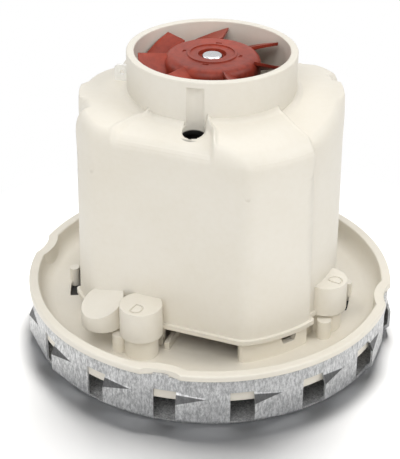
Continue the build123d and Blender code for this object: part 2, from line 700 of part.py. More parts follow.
with BuildPart() as mid_panel:
    with BuildSketch(turned(MID_START)):
        with BuildLine() as edge:
            Polyline(
                (COLLAR_RADIUS, MID_FOOT),
                (HUB_RADIUS, MID_FOOT),
                (HUB_RADIUS, CEILING_HEIGHT),
                (TOP_WING, CEILING_HEIGHT),
                (TOP_WING, CREASE_HEIGHT),
            )
            SagittaArc((TOP_WING, CREASE_HEIGHT), (COLLAR_RADIUS, MID_FOOT), MID_BULGE)
        make_face(edge.edges())
    revolve(axis=Axis.Z, revolution_arc=MID_ARC)

with BuildPart() as envelope:
    for rise, inset in ROUND_STEPS:
        with BuildSketch(Plane.XY.offset(CEILING_HEIGHT + rise)) as step_plan:
            housing_plan(CEILING_SHRINK + inset)
            round_plan(step_plan)
    loft(ruled=True)
    extrude(faces().sort_by(Axis.Z)[-1], amount=COLLAR_TOP - CEILING_HEIGHT)

with BuildPart() as roof:
    with BuildSketch(Plane.XY.offset(CEILING_HEIGHT)):
        Circle(HUB_RADIUS + CUT)
    extrude(amount=SPIDER_TOP - CEILING_HEIGHT)
    for panel in (low_panel, mid_panel, side_block):
        with PolarLocations(0, 2):
            add(panel.part)
    add(envelope.part, mode=Mode.INTERSECT)
    with PolarLocations(0, 2):
        add(fin.part)

with BuildPart() as lobe:
    with BuildSketch(Plane.XY.offset(SEAT_HEIGHT)):
        with Locations(polar(LOBE_CIRCLE, LOBE_ANGLE)):
            Circle(LOBE_RADIUS)
    extrude(amount=LOBE_TOP - SEAT_HEIGHT, taper=HOUSING_TAPER)
    with BuildSketch(turned(LOBE_ANGLE)):
        outline([
            (FLAT_DISTANCE, LOBE_TOP),
            (LOBE_CIRCLE + LOBE_RADIUS, LOBE_TOP - LOBE_DROP),
            (LOBE_CIRCLE + LOBE_RADIUS, LOBE_TOP),
        ])
    extrude(amount=LOBE_RADIUS, both=True, mode=Mode.SUBTRACT)

with BuildSketch() as boss_mark:
    Circle(MARK_RADIUS)
    with Locations((0, MARK_SHIFT)):
        Rectangle(2 * MARK_RADIUS, 2 * MARK_RADIUS, mode=Mode.INTERSECT)
    offset(amount=-MARK_LINE, mode=Mode.SUBTRACT)

with BuildPart() as motor_housing:
    for height, shrink in ((SEAT_HEIGHT, 0), (CEILING_HEIGHT, CEILING_SHRINK)):
        with BuildSketch(Plane.XY.offset(height)) as wall_plan:
            housing_plan(shrink)
            round_plan(wall_plan)
    loft(ruled=True)
    add(roof.part)
    with BuildSketch(Plane.XY.offset(SEAT_HEIGHT)) as lip_plan:
        housing_plan(-LIP_PROUD)
        round_plan(lip_plan)
    extrude(amount=LIP_HEIGHT)
    with PolarLocations(0, 2):
        add(lobe.part)
    for height, shrink in ((SEAT_HEIGHT, 0), (CEILING_HEIGHT, CEILING_SHRINK)):
        with BuildSketch(Plane.XY.offset(height)):
            housing_plan(HOUSING_WALL + shrink)
    loft(ruled=True, mode=Mode.SUBTRACT)
    with BuildSketch(Plane.XY.offset(SEAT_HEIGHT)):
        with PolarLocations(BOSS_CIRCLE, BOSS_COUNT, start_angle=BOSS_ANGLE):
            Circle(BOSS_RADIUS)
    extrude(amount=BOSS_TOP - SEAT_HEIGHT, taper=HOUSING_TAPER)
    with BuildSketch(Plane.XY.offset(BOSS_TOP)):
        with PolarLocations(BOSS_CIRCLE + MARK_OFFSET, BOSS_COUNT, start_angle=BOSS_ANGLE):
            add(boss_mark.sketch)
    extrude(amount=-MARK_DEPTH, mode=Mode.SUBTRACT)
    with BuildSketch(Plane.XZ) as section:
        outline([
            (COLLAR_BORE, SPIDER_TOP),
            (COLLAR_BORE, COLLAR_TOP),
            (COLLAR_RADIUS, COLLAR_TOP),
            (COLLAR_RADIUS, SPIDER_TOP - CUT),
            (COLLAR_BORE, SPIDER_TOP - CUT),
        ])
        round_corner(section, (COLLAR_BORE, COLLAR_TOP), COLLAR_EDGE)
        round_corner(section, (COLLAR_RADIUS, COLLAR_TOP), COLLAR_EDGE)
    revolve(axis=Axis.Z)
    with BuildSketch(Plane.XY.offset(SPIDER_TOP)):
        Circle(COLLAR_BORE)
    extrude(amount=MID_FOOT + CUT - SPIDER_TOP, mode=Mode.SUBTRACT)
    with BuildSketch(Plane.XY.offset(CEILING_HEIGHT)):
        Circle(THROAT_RADIUS)
        Circle(HUB_RADIUS, mode=Mode.SUBTRACT)
        with PolarLocations(THROAT_RADIUS / 2, SPIDER_COUNT, start_angle=SPIDER_ANGLE):
            Rectangle(THROAT_RADIUS + CUT, SPIDER_WIDTH, mode=Mode.SUBTRACT)
    extrude(amount=SPIDER_TOP - CEILING_HEIGHT, mode=Mode.SUBTRACT)
    with BuildSketch(Plane.XY.offset(UPPER_BEARING_BOTTOM)):
        Circle(HUB_RADIUS)
    extrude(amount=BEARING_WIDTH + BEARING_CAP)
    with BuildSketch(Plane.XY.offset(CEILING_HEIGHT)):
        Circle(SLEEVE_RADIUS)
    extrude(amount=UPPER_BEARING_TOP - CEILING_HEIGHT, mode=Mode.SUBTRACT)
    with BuildSketch(Plane.XY.offset(CEILING_HEIGHT)):
        Circle(SHAFT_BODY_RADIUS + TURN_GAP)
    extrude(amount=BEARING_WIDTH + BEARING_CAP + CUT, mode=Mode.SUBTRACT)
    with BuildSketch(Plane.XY.offset(CEILING_HEIGHT)):
        with Locations(polar(CHANNEL_CIRCLE, CHANNEL_ANGLE)):
            Circle(CHANNEL_RADIUS)
    extrude(amount=COLLAR_TOP - CHANNEL_STOP - CEILING_HEIGHT, mode=Mode.SUBTRACT)
    with BuildSketch(Plane.XY.offset(CEILING_HEIGHT)):
        with Locations(polar(CHANNEL_CIRCLE, CHANNEL_ANGLE)):
            Circle(POCKET_RADIUS)
    extrude(amount=POCKET_DEPTH, mode=Mode.SUBTRACT)
    with BuildSketch(Plane.XY.offset(SEAT_HEIGHT)):
        with PolarLocations(BOSS_CIRCLE, BOSS_COUNT, start_angle=BOSS_ANGLE):
            Circle(SCREW_RADIUS)
    extrude(amount=SCREW_GRIP, mode=Mode.SUBTRACT)
    with BuildSketch(Plane.XY.offset(STACK_TOP)):
        with PolarLocations(POST_DISTANCE, 2):
            Circle(POST_RADIUS)
    extrude(amount=CEILING_HEIGHT - STACK_TOP)
    with BuildSketch(Plane.XY.offset(STACK_TOP)):
        with PolarLocations(POST_DISTANCE, 2):
            Circle(STATOR_SCREW_RADIUS)
    extrude(amount=STATOR_SCREW_GRIP, mode=Mode.SUBTRACT)
    for half_turn in (0, 180):
        with BuildSketch(across(CRADLE_INNER, BRUSH_ANGLE + half_turn, BRUSH_CENTRE_HEIGHT)):
            outline([
                (-CRADLE_HALF_WIDTH, -HOLDER_HEIGHT / 2),
                (CRADLE_HALF_WIDTH, -HOLDER_HEIGHT / 2),
                (CRADLE_HALF_WIDTH, CEILING_HEIGHT - BRUSH_CENTRE_HEIGHT),
                (-CRADLE_HALF_WIDTH, CEILING_HEIGHT - BRUSH_CENTRE_HEIGHT),
            ])
        extrude(amount=CRADLE_OUTER - CRADLE_INNER)
        with BuildSketch(across(HOLDER_INNER, BRUSH_ANGLE + half_turn, BRUSH_CENTRE_HEIGHT)):
            outline([
                (-HOLDER_WIDTH / 2 - SEAT_GAP, -HOLDER_HEIGHT),
                (HOLDER_WIDTH / 2 + SEAT_GAP, -HOLDER_HEIGHT),
                (HOLDER_WIDTH / 2 + SEAT_GAP, HOLDER_HEIGHT / 2 + SEAT_GAP),
                (-HOLDER_WIDTH / 2 - SEAT_GAP, HOLDER_HEIGHT / 2 + SEAT_GAP),
            ])
        extrude(amount=HOLDER_OUTER - HOLDER_INNER, mode=Mode.SUBTRACT)
    for angle in BLADE_ANGLES:
        with BuildSketch(across(BLADE_INNER - SEAT_GAP, angle, BLADE_BOTTOM)):
            outline([
                (-BLADE_THICKNESS / 2 - SEAT_GAP, 0),
                (BLADE_THICKNESS / 2 + SEAT_GAP, 0),
                (BLADE_THICKNESS / 2 + SEAT_GAP, BLADE_TOP - BLADE_BOTTOM),
                (-BLADE_THICKNESS / 2 - SEAT_GAP, BLADE_TOP - BLADE_BOTTOM),
            ])
        extrude(amount=BLADE_WIDTH + 2 * SEAT_GAP, mode=Mode.SUBTRACT)
keep(motor_housing, "motor_housing")

# Housing screws
with BuildPart() as housing_screws:
    with BuildSketch(Plane.XY.offset(SCREW_HEAD_BOTTOM)):
        with PolarLocations(BOSS_CIRCLE, BOSS_COUNT, start_angle=BOSS_ANGLE):
            Circle(SCREW_HEAD_RADIUS)
    extrude(amount=SCREW_HEAD_HEIGHT)
    with BuildSketch(Plane.XY.offset(SCREW_HEAD_BOTTOM)):
        with PolarLocations(BOSS_CIRCLE, BOSS_COUNT, start_angle=BOSS_ANGLE):
            Circle(SCREW_RADIUS)
    extrude(amount=SEAT_HEIGHT + SCREW_GRIP - SEAT_GAP - SCREW_HEAD_BOTTOM)
    with BuildSketch(Plane.XY.offset(SCREW_HEAD_BOTTOM)):
        with PolarLocations(BOSS_CIRCLE, BOSS_COUNT, start_angle=BOSS_ANGLE):
            Rectangle(2 * SCREW_SOCKET_WIDTH, DRIVE_SLOT_WIDTH)
            Rectangle(DRIVE_SLOT_WIDTH, 2 * SCREW_SOCKET_WIDTH)
    extrude(amount=SCREW_SOCKET_DEPTH, mode=Mode.SUBTRACT)
keep(housing_screws, "housing_screws")

# Ball bearings and their rubber sleeves
for place, bottom in (("lower", TRAY_UNDERSIDE), ("upper", UPPER_BEARING_BOTTOM)):
    middle = bottom + BEARING_WIDTH / 2
    for name, inner, outer in (
        ("outer_race", BEARING_RADIUS - BEARING_RACE, BEARING_RADIUS),
        ("inner_race", SHAFT_RADIUS, SHAFT_RADIUS + BEARING_RACE),
        ("sleeve", BEARING_RADIUS, SLEEVE_RADIUS),
    ):
        with BuildPart() as ring:
            with BuildSketch(Plane.XZ) as section:
                outline([
                    (inner, bottom),
                    (outer, bottom),
                    (outer, bottom + BEARING_WIDTH),
                    (inner, bottom + BEARING_WIDTH),
                ])
                with Locations((BALL_CIRCLE, middle)):
                    Circle(BALL_RADIUS + BALL_GAP, mode=Mode.SUBTRACT)
            revolve(axis=Axis.Z)
        keep(ring, f"{place}_bearing_{name}")
    with BuildPart() as balls:
        for k in range(BALL_COUNT):
            with Locations((*polar(BALL_CIRCLE, k * 360 / BALL_COUNT), middle)):
                Sphere(BALL_RADIUS)
    keep(balls, f"{place}_bearing_balls")

# Rotor shaft
with BuildPart() as rotor_shaft:
    with BuildSketch(Plane.XZ) as section:
        outline([
            (0, SHAFT_BOTTOM),
            (SHAFT_RADIUS, SHAFT_BOTTOM),
            (SHAFT_RADIUS, LOWER_BEARING_TOP),
            (SHAFT_BODY_RADIUS, LOWER_BEARING_TOP),
            (SHAFT_BODY_RADIUS, UPPER_BEARING_BOTTOM),
            (SHAFT_RADIUS, UPPER_BEARING_BOTTOM),
            (SHAFT_RADIUS, SHAFT_TOP),
            (0, SHAFT_TOP),
        ])
        round_corner(section, (SHAFT_RADIUS, SHAFT_TOP), SHAFT_DOME)
        round_corner(section, (SHAFT_RADIUS, SHAFT_BOTTOM), SHAFT_DOME / 2)
    revolve(axis=Axis.Z)
keep(rotor_shaft, "rotor_shaft")

# Armature: slotted core, winding through the slots, commutator
with BuildPart() as armature_core:
    with BuildSketch(Plane.XY.offset(STACK_BOTTOM)):
        Circle(ARMATURE_RADIUS)
        Circle(SHAFT_BODY_RADIUS, mode=Mode.SUBTRACT)
        with PolarLocations(SLOT_CIRCLE, ARMATURE_SLOTS):
            Circle(SLOT_RADIUS, mode=Mode.SUBTRACT)
        with PolarLocations(ARMATURE_RADIUS, ARMATURE_SLOTS):
            Rectangle(2 * (ARMATURE_RADIUS - SLOT_CIRCLE), SLOT_MOUTH, mode=Mode.SUBTRACT)
    extrude(amount=STACK_HEIGHT)
keep(armature_core, "armature_core")

with BuildPart() as armature_winding:
    for bottom in (STACK_BOTTOM - HEAD_HEIGHT, STACK_TOP):
        with BuildSketch(Plane.XZ) as section:
            outline([
                (HEAD_INNER, bottom),
                (HEAD_OUTER, bottom),
                (HEAD_OUTER, bottom + HEAD_HEIGHT),
                (HEAD_INNER, bottom + HEAD_HEIGHT),
            ])
            away = bottom if bottom < STACK_BOTTOM else bottom + HEAD_HEIGHT
            round_corner(section, (HEAD_OUTER, away), HEAD_ROUND)
            round_corner(section, (HEAD_INNER, away), HEAD_ROUND)
        revolve(axis=Axis.Z)
    with BuildSketch(Plane.XY.offset(STACK_BOTTOM)):
        with PolarLocations(SLOT_CIRCLE, ARMATURE_SLOTS):
            Circle(SLOT_RADIUS - SEAT_GAP)
    extrude(amount=STACK_HEIGHT)
keep(armature_winding, "armature_winding")

with BuildPart() as commutator:
    with BuildSketch(Plane.XY.offset(COMMUTATOR_BOTTOM)):
        Circle(COMMUTATOR_RADIUS)
    extrude(amount=COMMUTATOR_TOP - COMMUTATOR_BOTTOM)
    with BuildSketch(Plane.XY.offset(COMMUTATOR_BOTTOM)):
        Circle(COMMUTATOR_RISER)
    extrude(amount=RISER_HEIGHT)
    with BuildSketch(Plane.XY.offset(COMMUTATOR_BOTTOM)):
        Circle(SHAFT_BODY_RADIUS)
    extrude(amount=COMMUTATOR_TOP - COMMUTATOR_BOTTOM, mode=Mode.SUBTRACT)
    with BuildSketch(Plane.XY.offset(COMMUTATOR_BOTTOM)):
        with PolarLocations(COMMUTATOR_RISER, BAR_COUNT):
            Rectangle(2 * (COMMUTATOR_RISER - COMMUTATOR_RADIUS + BAR_SLIT_DEPTH), BAR_SLIT)
    extrude(amount=COMMUTATOR_TOP - COMMUTATOR_BOTTOM, mode=Mode.SUBTRACT)
keep(commutator, "commutator")

# Stator: laminated core, two saddle coils, two long screws
with BuildPart() as stator_core:
    with BuildSketch(Plane.XY.offset(STACK_BOTTOM)):
        Circle(STATOR_RADIUS)
        Rectangle(2 * STATOR_RADIUS, 2 * STATOR_FLAT, mode=Mode.INTERSECT)
        Circle(STATOR_BORE, mode=Mode.SUBTRACT)
        for half_turn in (0, 180):
            ring_sector(
                STATOR_BORE + POLE_SHOE,
                STATOR_YOKE,
                half_turn - WINDOW_SPAN / 2,
                WINDOW_SPAN,
                mode=Mode.SUBTRACT,
            )
            ring_sector(
                STATOR_BORE - CUT,
                STATOR_YOKE,
                half_turn - POLE_TIP_GAP / 2,
                POLE_TIP_GAP,
                mode=Mode.SUBTRACT,
            )
        with PolarLocations(POST_DISTANCE, 2):
            Circle(STATOR_SCREW_RADIUS + SEAT_GAP, mode=Mode.SUBTRACT)
    extrude(amount=STACK_HEIGHT)
keep(stator_core, "stator_core")

for name, middle in (("front", -90), ("back", 90)):
    with BuildPart() as coil:
        with BuildSketch(Plane.XY.offset(STACK_BOTTOM - COIL_HEAD)):
            ring_sector(
                STATOR_BORE + POLE_SHOE + COIL_GAP,
                STATOR_YOKE - COIL_GAP,
                middle - COIL_SPAN / 2,
                COIL_SPAN,
            )
        extrude(amount=STACK_HEIGHT + 2 * COIL_HEAD)
        with BuildSketch(Plane.XY.offset(STACK_BOTTOM - COIL_GAP)):
            ring_sector(STATOR_BORE, STATOR_RADIUS, middle - COIL_CORE_SPAN / 2, COIL_CORE_SPAN)
        extrude(amount=STACK_HEIGHT + 2 * COIL_GAP, mode=Mode.SUBTRACT)
    keep(coil, f"field_coil_{name}")

with BuildPart() as stator_screws:
    with BuildSketch(Plane.XY.offset(STACK_BOTTOM - SCREW_HEAD_HEIGHT)):
        with PolarLocations(POST_DISTANCE, 2):
            Circle(STATOR_SCREW_HEAD)
    extrude(amount=SCREW_HEAD_HEIGHT)
    with BuildSketch(Plane.XY.offset(STACK_BOTTOM - SCREW_HEAD_HEIGHT)):
        with PolarLocations(POST_DISTANCE, 2):
            Circle(STATOR_SCREW_RADIUS)
    extrude(amount=SCREW_HEAD_HEIGHT + STACK_HEIGHT + STATOR_SCREW_GRIP - SEAT_GAP)
    with BuildSketch(Plane.XY.offset(STACK_BOTTOM - SCREW_HEAD_HEIGHT)):
        with PolarLocations(POST_DISTANCE, 2):
            Rectangle(2 * SCREW_SOCKET_WIDTH, DRIVE_SLOT_WIDTH)
    extrude(amount=SCREW_SOCKET_DEPTH, mode=Mode.SUBTRACT)
keep(stator_screws, "stator_screws")

# Brush gear on both sides: holder, brush, spring
for name, angle in (("right", BRUSH_ANGLE), ("left", BRUSH_ANGLE + 180)):
    with BuildPart() as holder:
        with BuildSketch(across(HOLDER_INNER, angle, BRUSH_CENTRE_HEIGHT)):
            Rectangle(HOLDER_WIDTH, HOLDER_HEIGHT)
        extrude(amount=HOLDER_OUTER - HOLDER_INNER)
        with BuildSketch(across(HOLDER_INNER, angle, BRUSH_CENTRE_HEIGHT)):
            Rectangle(BRUSH_WIDTH + 2 * SLIDE_GAP, BRUSH_HEIGHT + 2 * SLIDE_GAP)
        extrude(amount=HOLDER_OUTER - HOLDER_CAP - HOLDER_INNER, mode=Mode.SUBTRACT)
    keep(holder, f"brush_holder_{name}")
    with BuildPart() as brush:
        with BuildSketch(across(BRUSH_INNER - CUT, angle, BRUSH_CENTRE_HEIGHT)):
            Rectangle(BRUSH_WIDTH, BRUSH_HEIGHT)
        extrude(amount=BRUSH_LENGTH + CUT)
        with BuildSketch(across(BRUSH_OUTER, angle, BRUSH_CENTRE_HEIGHT)):
            Circle(SPRING_RADIUS - 2 * SPRING_WIRE)
        extrude(amount=BRUSH_PEG)
        with BuildSketch(Plane.XY.offset(BRUSH_CENTRE_HEIGHT - BRUSH_HEIGHT)):
            Circle(BRUSH_INNER)
        extrude(amount=2 * BRUSH_HEIGHT, mode=Mode.SUBTRACT)
    keep(brush, f"carbon_brush_{name}")
    with BuildPart() as spring:
        with BuildLine() as wire_line:
            Polyline(*[spring_point(angle, k) for k in range(SPRING_SIDES * SPRING_TURNS + 1)])
        with BuildSketch(Plane(origin=wire_line.line @ 0, z_dir=wire_line.line % 0)):
            RegularPolygon(SPRING_WIRE, WIRE_SIDES)
        sweep(path=wire_line.line, transition=Transition.RIGHT)
    keep(spring, f"brush_spring_{name}")

# Terminal blades
for k, angle in enumerate(BLADE_ANGLES):
    with BuildPart() as blade:
        with BuildSketch(turned(angle)) as section:
            outline([
                (BLADE_INNER, BLADE_BOTTOM),
                (BLADE_INNER + BLADE_WIDTH, BLADE_BOTTOM),
                (BLADE_INNER + BLADE_WIDTH, BLADE_TOP - BLADE_NOSE),
                (BLADE_INNER + BLADE_WIDTH - BLADE_NOSE, BLADE_TOP),
                (BLADE_INNER + BLADE_NOSE, BLADE_TOP),
                (BLADE_INNER, BLADE_TOP - BLADE_NOSE),
            ])
            with Locations((BLADE_CIRCLE, BLADE_TOP - BLADE_WIDTH / 2)):
                Circle(BLADE_HOLE, mode=Mode.SUBTRACT)
        extrude(amount=BLADE_THICKNESS / 2, both=True)
    keep(blade, f"terminal_blade_{k + 1}")

# Cooling fan
with BuildPart() as fan_blade:
    for k in range(FAN_STATIONS):
        share = k / (FAN_STATIONS - 1)
        rise = FAN_HUB_TOP - FAN_BLADE_DROP * share
        with BuildSketch(turned(FAN_BLADE_ANGLE + FAN_BLADE_SWEEP * share)):
            outline([
                (FAN_HUB_RADIUS - FAN_BLADE_ROOT, rise - FAN_BLADE_SHEET),
                (FAN_TIP_RADIUS, rise - FAN_BLADE_SHEET),
                (FAN_TIP_RADIUS, rise),
                (FAN_HUB_RADIUS - FAN_BLADE_ROOT, rise),
            ])
    loft(ruled=True)

with BuildPart() as cooling_fan:
    with BuildSketch(Plane.XZ) as section:
        outline([
            (SHAFT_RADIUS, FAN_HUB_TOP - FAN_RECESS_DEPTH),
            (FAN_RECESS_RADIUS, FAN_HUB_TOP - FAN_RECESS_DEPTH),
            (FAN_RECESS_RADIUS, FAN_HUB_TOP),
            (FAN_HUB_RADIUS, FAN_HUB_TOP),
            (FAN_HUB_RADIUS, FAN_HUB_BOTTOM),
            (FAN_HUB_RADIUS - FAN_HUB_WALL, FAN_HUB_BOTTOM),
            (FAN_HUB_RADIUS - FAN_HUB_WALL, FAN_HUB_TOP - FAN_HUB_ROUND),
            (FAN_BOSS_RADIUS, FAN_HUB_TOP - FAN_HUB_ROUND),
            (FAN_BOSS_RADIUS, FAN_HUB_BOTTOM),
            (SHAFT_RADIUS, FAN_HUB_BOTTOM),
        ])
        round_corner(section, (FAN_HUB_RADIUS, FAN_HUB_TOP), FAN_HUB_ROUND)
        outline([
            (FAN_RING_RADIUS, FAN_HUB_TOP - FAN_RING_RISE),
            (FAN_RING_RADIUS + FAN_RING_WIDTH, FAN_HUB_TOP - FAN_RING_RISE),
            (FAN_RING_RADIUS + FAN_RING_WIDTH, FAN_HUB_TOP + FAN_RING_RISE),
            (FAN_RING_RADIUS, FAN_HUB_TOP + FAN_RING_RISE),
        ])
    revolve(axis=Axis.Z)
    with PolarLocations(0, BLADE_COUNT):
        add(fan_blade.part)
    with BuildSketch(Plane.XY.offset(FAN_HUB_TOP)):
        with PolarLocations(FAN_MARK_CIRCLE, FAN_MARK_COUNT, start_angle=FAN_BLADE_ANGLE):
            Rectangle(FAN_MARK_WIDTH, FAN_MARK_LENGTH)
    extrude(amount=-FAN_RING_RISE, mode=Mode.SUBTRACT)
keep(cooling_fan, "cooling_fan")

# Impeller: two sheets, vanes between them, and what clamps them to the shaft
with BuildPart() as impeller_back_plate:
    with BuildSketch(Plane.XY.offset(IMPELLER_TOP - IMPELLER_SHEET)):
        Circle(IMPELLER_RADIUS)
        Circle(SHAFT_RADIUS, mode=Mode.SUBTRACT)
    extrude(amount=IMPELLER_SHEET)
keep(impeller_back_plate, "impeller_back_plate")

with BuildPart() as impeller_eye_plate:
    with BuildSketch(Plane.XZ):
        outline([
            (IMPELLER_EYE, EYE_HEIGHT),
            (IMPELLER_EYE, EYE_HEIGHT + IMPELLER_SHEET),
            (IMPELLER_RADIUS, EYE_RIM_HEIGHT + IMPELLER_SHEET),
            (IMPELLER_RADIUS, EYE_RIM_HEIGHT),
        ])
    revolve(axis=Axis.Z)
keep(impeller_eye_plate, "impeller_eye_plate")

with BuildPart() as impeller_vanes:
    with BuildSketch(Plane.XY.offset(EYE_HEIGHT)):
        for k in range(VANE_COUNT):
            start = k * 360 / VANE_COUNT
            with BuildLine() as edge:
                inner_arc = ThreePointArc(
                    polar(VANE_INNER, start),
                    polar(VANE_MIDDLE, start - VANE_BACKSWEEP * VANE_BOW),
                    polar(IMPELLER_RADIUS - SHEET, start - VANE_BACKSWEEP),
                )
                outer_arc = ThreePointArc(
                    polar(VANE_INNER, start + VANE_ANGLE_IN),
                    polar(VANE_MIDDLE, start - VANE_BACKSWEEP * VANE_BOW + VANE_ANGLE_MID),
                    polar(IMPELLER_RADIUS - SHEET, start - VANE_BACKSWEEP + VANE_ANGLE_OUT),
                )
                Line(inner_arc @ 0, outer_arc @ 0)
                Line(inner_arc @ 1, outer_arc @ 1)
            make_face(edge.edges())
    extrude(amount=IMPELLER_TOP - IMPELLER_SHEET - EYE_HEIGHT)
    with BuildSketch(Plane.XZ):
        outline([
            (0, 0),
            (0, EYE_HEIGHT + IMPELLER_SHEET),
            (IMPELLER_EYE, EYE_HEIGHT + IMPELLER_SHEET),
            (IMPELLER_RADIUS, EYE_RIM_HEIGHT + IMPELLER_SHEET),
            (IMPELLER_RADIUS, 0),
        ])
    revolve(axis=Axis.Z, mode=Mode.SUBTRACT)
keep(impeller_vanes, "impeller_vanes")

with BuildPart() as impeller_spacer:
    with BuildSketch(Plane.XY.offset(IMPELLER_TOP)):
        Circle(SHAFT_RADIUS + BEARING_RACE)
        Circle(SHAFT_RADIUS, mode=Mode.SUBTRACT)
    extrude(amount=TRAY_UNDERSIDE - IMPELLER_TOP)
keep(impeller_spacer, "impeller_spacer")

with BuildPart() as impeller_washer:
    with BuildSketch(Plane.XY.offset(WASHER_BOTTOM)):
        Circle(CLAMP_RADIUS)
        Circle(SHAFT_RADIUS, mode=Mode.SUBTRACT)
    extrude(amount=CLAMP_THICKNESS)
keep(impeller_washer, "impeller_washer")

with BuildPart() as impeller_nut:
    with BuildSketch(Plane.XY.offset(WASHER_BOTTOM - NUT_HEIGHT)):
        RegularPolygon(NUT_FLATS / 2, NUT_SIDES, major_radius=False)
    extrude(amount=NUT_HEIGHT)
    with BuildSketch(Plane.XZ):
        outline([
            (0, WASHER_BOTTOM - NUT_HEIGHT),
            (NUT_FLATS / 2, WASHER_BOTTOM - NUT_HEIGHT),
            (NUT_FLATS / 2 + NUT_CHAMFER, WASHER_BOTTOM - NUT_HEIGHT + NUT_CHAMFER),
            (NUT_FLATS, WASHER_BOTTOM),
            (0, WASHER_BOTTOM),
        ])
    revolve(axis=Axis.Z, mode=Mode.INTERSECT)
    with BuildSketch(Plane.XY.offset(WASHER_BOTTOM - NUT_HEIGHT)):
        Circle(SHAFT_RADIUS)
    extrude(amount=NUT_HEIGHT, mode=Mode.SUBTRACT)
keep(impeller_nut, "impeller_nut")
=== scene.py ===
import json
import logging
from dataclasses import dataclass, field
from enum import Enum
from math import cos, degrees, exp, log1p, pi, radians, sin, sqrt

import bmesh
import bpy
from mathutils import Matrix, Vector


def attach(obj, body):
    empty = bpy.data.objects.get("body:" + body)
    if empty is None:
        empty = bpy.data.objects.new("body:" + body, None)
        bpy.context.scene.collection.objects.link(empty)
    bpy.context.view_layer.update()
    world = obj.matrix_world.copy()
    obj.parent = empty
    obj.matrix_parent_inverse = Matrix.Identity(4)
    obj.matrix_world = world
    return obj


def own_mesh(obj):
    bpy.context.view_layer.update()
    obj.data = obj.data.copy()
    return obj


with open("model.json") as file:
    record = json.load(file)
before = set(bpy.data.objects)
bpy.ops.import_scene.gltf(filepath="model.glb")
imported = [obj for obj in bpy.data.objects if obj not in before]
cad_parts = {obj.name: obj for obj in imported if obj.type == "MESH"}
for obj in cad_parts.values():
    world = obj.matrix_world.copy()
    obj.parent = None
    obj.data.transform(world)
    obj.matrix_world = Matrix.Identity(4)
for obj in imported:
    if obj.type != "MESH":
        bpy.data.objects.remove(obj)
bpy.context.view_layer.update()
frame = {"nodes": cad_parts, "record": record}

MM_PER_METRE = 1000
log = logging.getLogger("vacuum_motor_unit")

Colour = tuple[float, float, float]
Feed = bpy.types.NodeSocket | float | Colour

SOCKET_KINDS = {
    "Base": "NodeSocketColor",
    "Shade": "NodeSocketColor",
    "Color": "NodeSocketColor",
    "Amount": "NodeSocketFloat",
    "Scale": "NodeSocketFloat",
    "Height": "NodeSocketFloat",
    "Edge": "NodeSocketFloat",
    "Mask": "NodeSocketFloat",
    "Normal": "NodeSocketVector",
}
# Places of the colour sockets among the sockets of a mix node
MIX_FIRST = 6
MIX_SECOND = 7
MIX_RESULT = 2


def smooth(value: float) -> float:
    """Eases a value from 0 to 1.

    Args:
        value: Any number; below 0 gives 0 and above 1 gives 1.

    Returns:
        The eased share.
    """
    value = min(1.0, max(0.0, value))
    return value * value * (3.0 - 2.0 * value)


def soft_rise(value: float) -> float:
    """Rises softly from 0 up to the value itself.

    Args:
        value: Any number.

    Returns:
        log(1 + exp(value)), written so that large numbers don't overflow.
    """
    return max(value, 0.0) + log1p(exp(-abs(value)))


class Effect(Enum):
    """A shader node group; the value is its name."""

    CLOUDY_TONE = "cloudy_tone"
    FINE_GRAIN = "fine_grain"
    WALL_CORNER = "wall_corner"
    HOLE_SHADE = "hole_shade"
    LOUVRE_SHADE = "louvre_shade"
    SPANGLE = "spangle"
    RINGS = "rings"
    SHEETS = "sheets"
    WIRES = "wires"


class Pattern(Enum):
    """What a finish shows close up."""

    MOULDED = "moulded"
    SPANGLE = "spangle"
    PLATED = "plated"
    TURNED = "turned"
    STACKED = "stacked"
    WOUND = "wound"
    PRESSED = "pressed"


class Course(Enum):
    """How regular marks run; the value is the type of the wave node."""

    ROUND_THE_AXIS = "RINGS"
    ONE_ABOVE_THE_OTHER = "BANDS"


@dataclass(frozen=True)
class Wave:
    """Regular marks that lie side by side.

    Args:
        course: How they run.
        scale: How close they lie.
        distortion: How far they wander.
        detail: Detail of the wandering.
        height: Height of the bump in metres.
        strength: Strength of the bump.
    """

    course: Course
    scale: float
    distortion: float
    detail: float
    height: float
    strength: float = 1.0


WAVES = {
    Effect.RINGS: Wave(Course.ROUND_THE_AXIS, 900.0, 1.5, 2.0, 0.00001, 0.5),
    Effect.SHEETS: Wave(Course.ONE_ABOVE_THE_OTHER, 310.0, 0.4, 1.0, 0.00012),
    Effect.WIRES: Wave(Course.ROUND_THE_AXIS, 520.0, 3.0, 2.0, 0.0002),
}
PATTERN_EFFECTS = {
    Pattern.SPANGLE: Effect.SPANGLE,
    Pattern.TURNED: Effect.RINGS,
    Pattern.STACKED: Effect.SHEETS,
    Pattern.WOUND: Effect.WIRES,
}
GRAIN_SCALES = {Pattern.MOULDED: 2600.0, Pattern.PLATED: 1500.0, Pattern.PRESSED: 3400.0}
SMALL_EDGE = 0.0003
ROUGHNESS_SWING = 0.08


@dataclass(frozen=True)
class Shadow:
    """A place that is darker than the soft lamps make it.

    Args:
        effect: Node group that says where it is.
        colour: Its colour, linear.
        share: Share of that colour.
    """

    effect: Effect
    colour: Colour
    share: float = 1.0


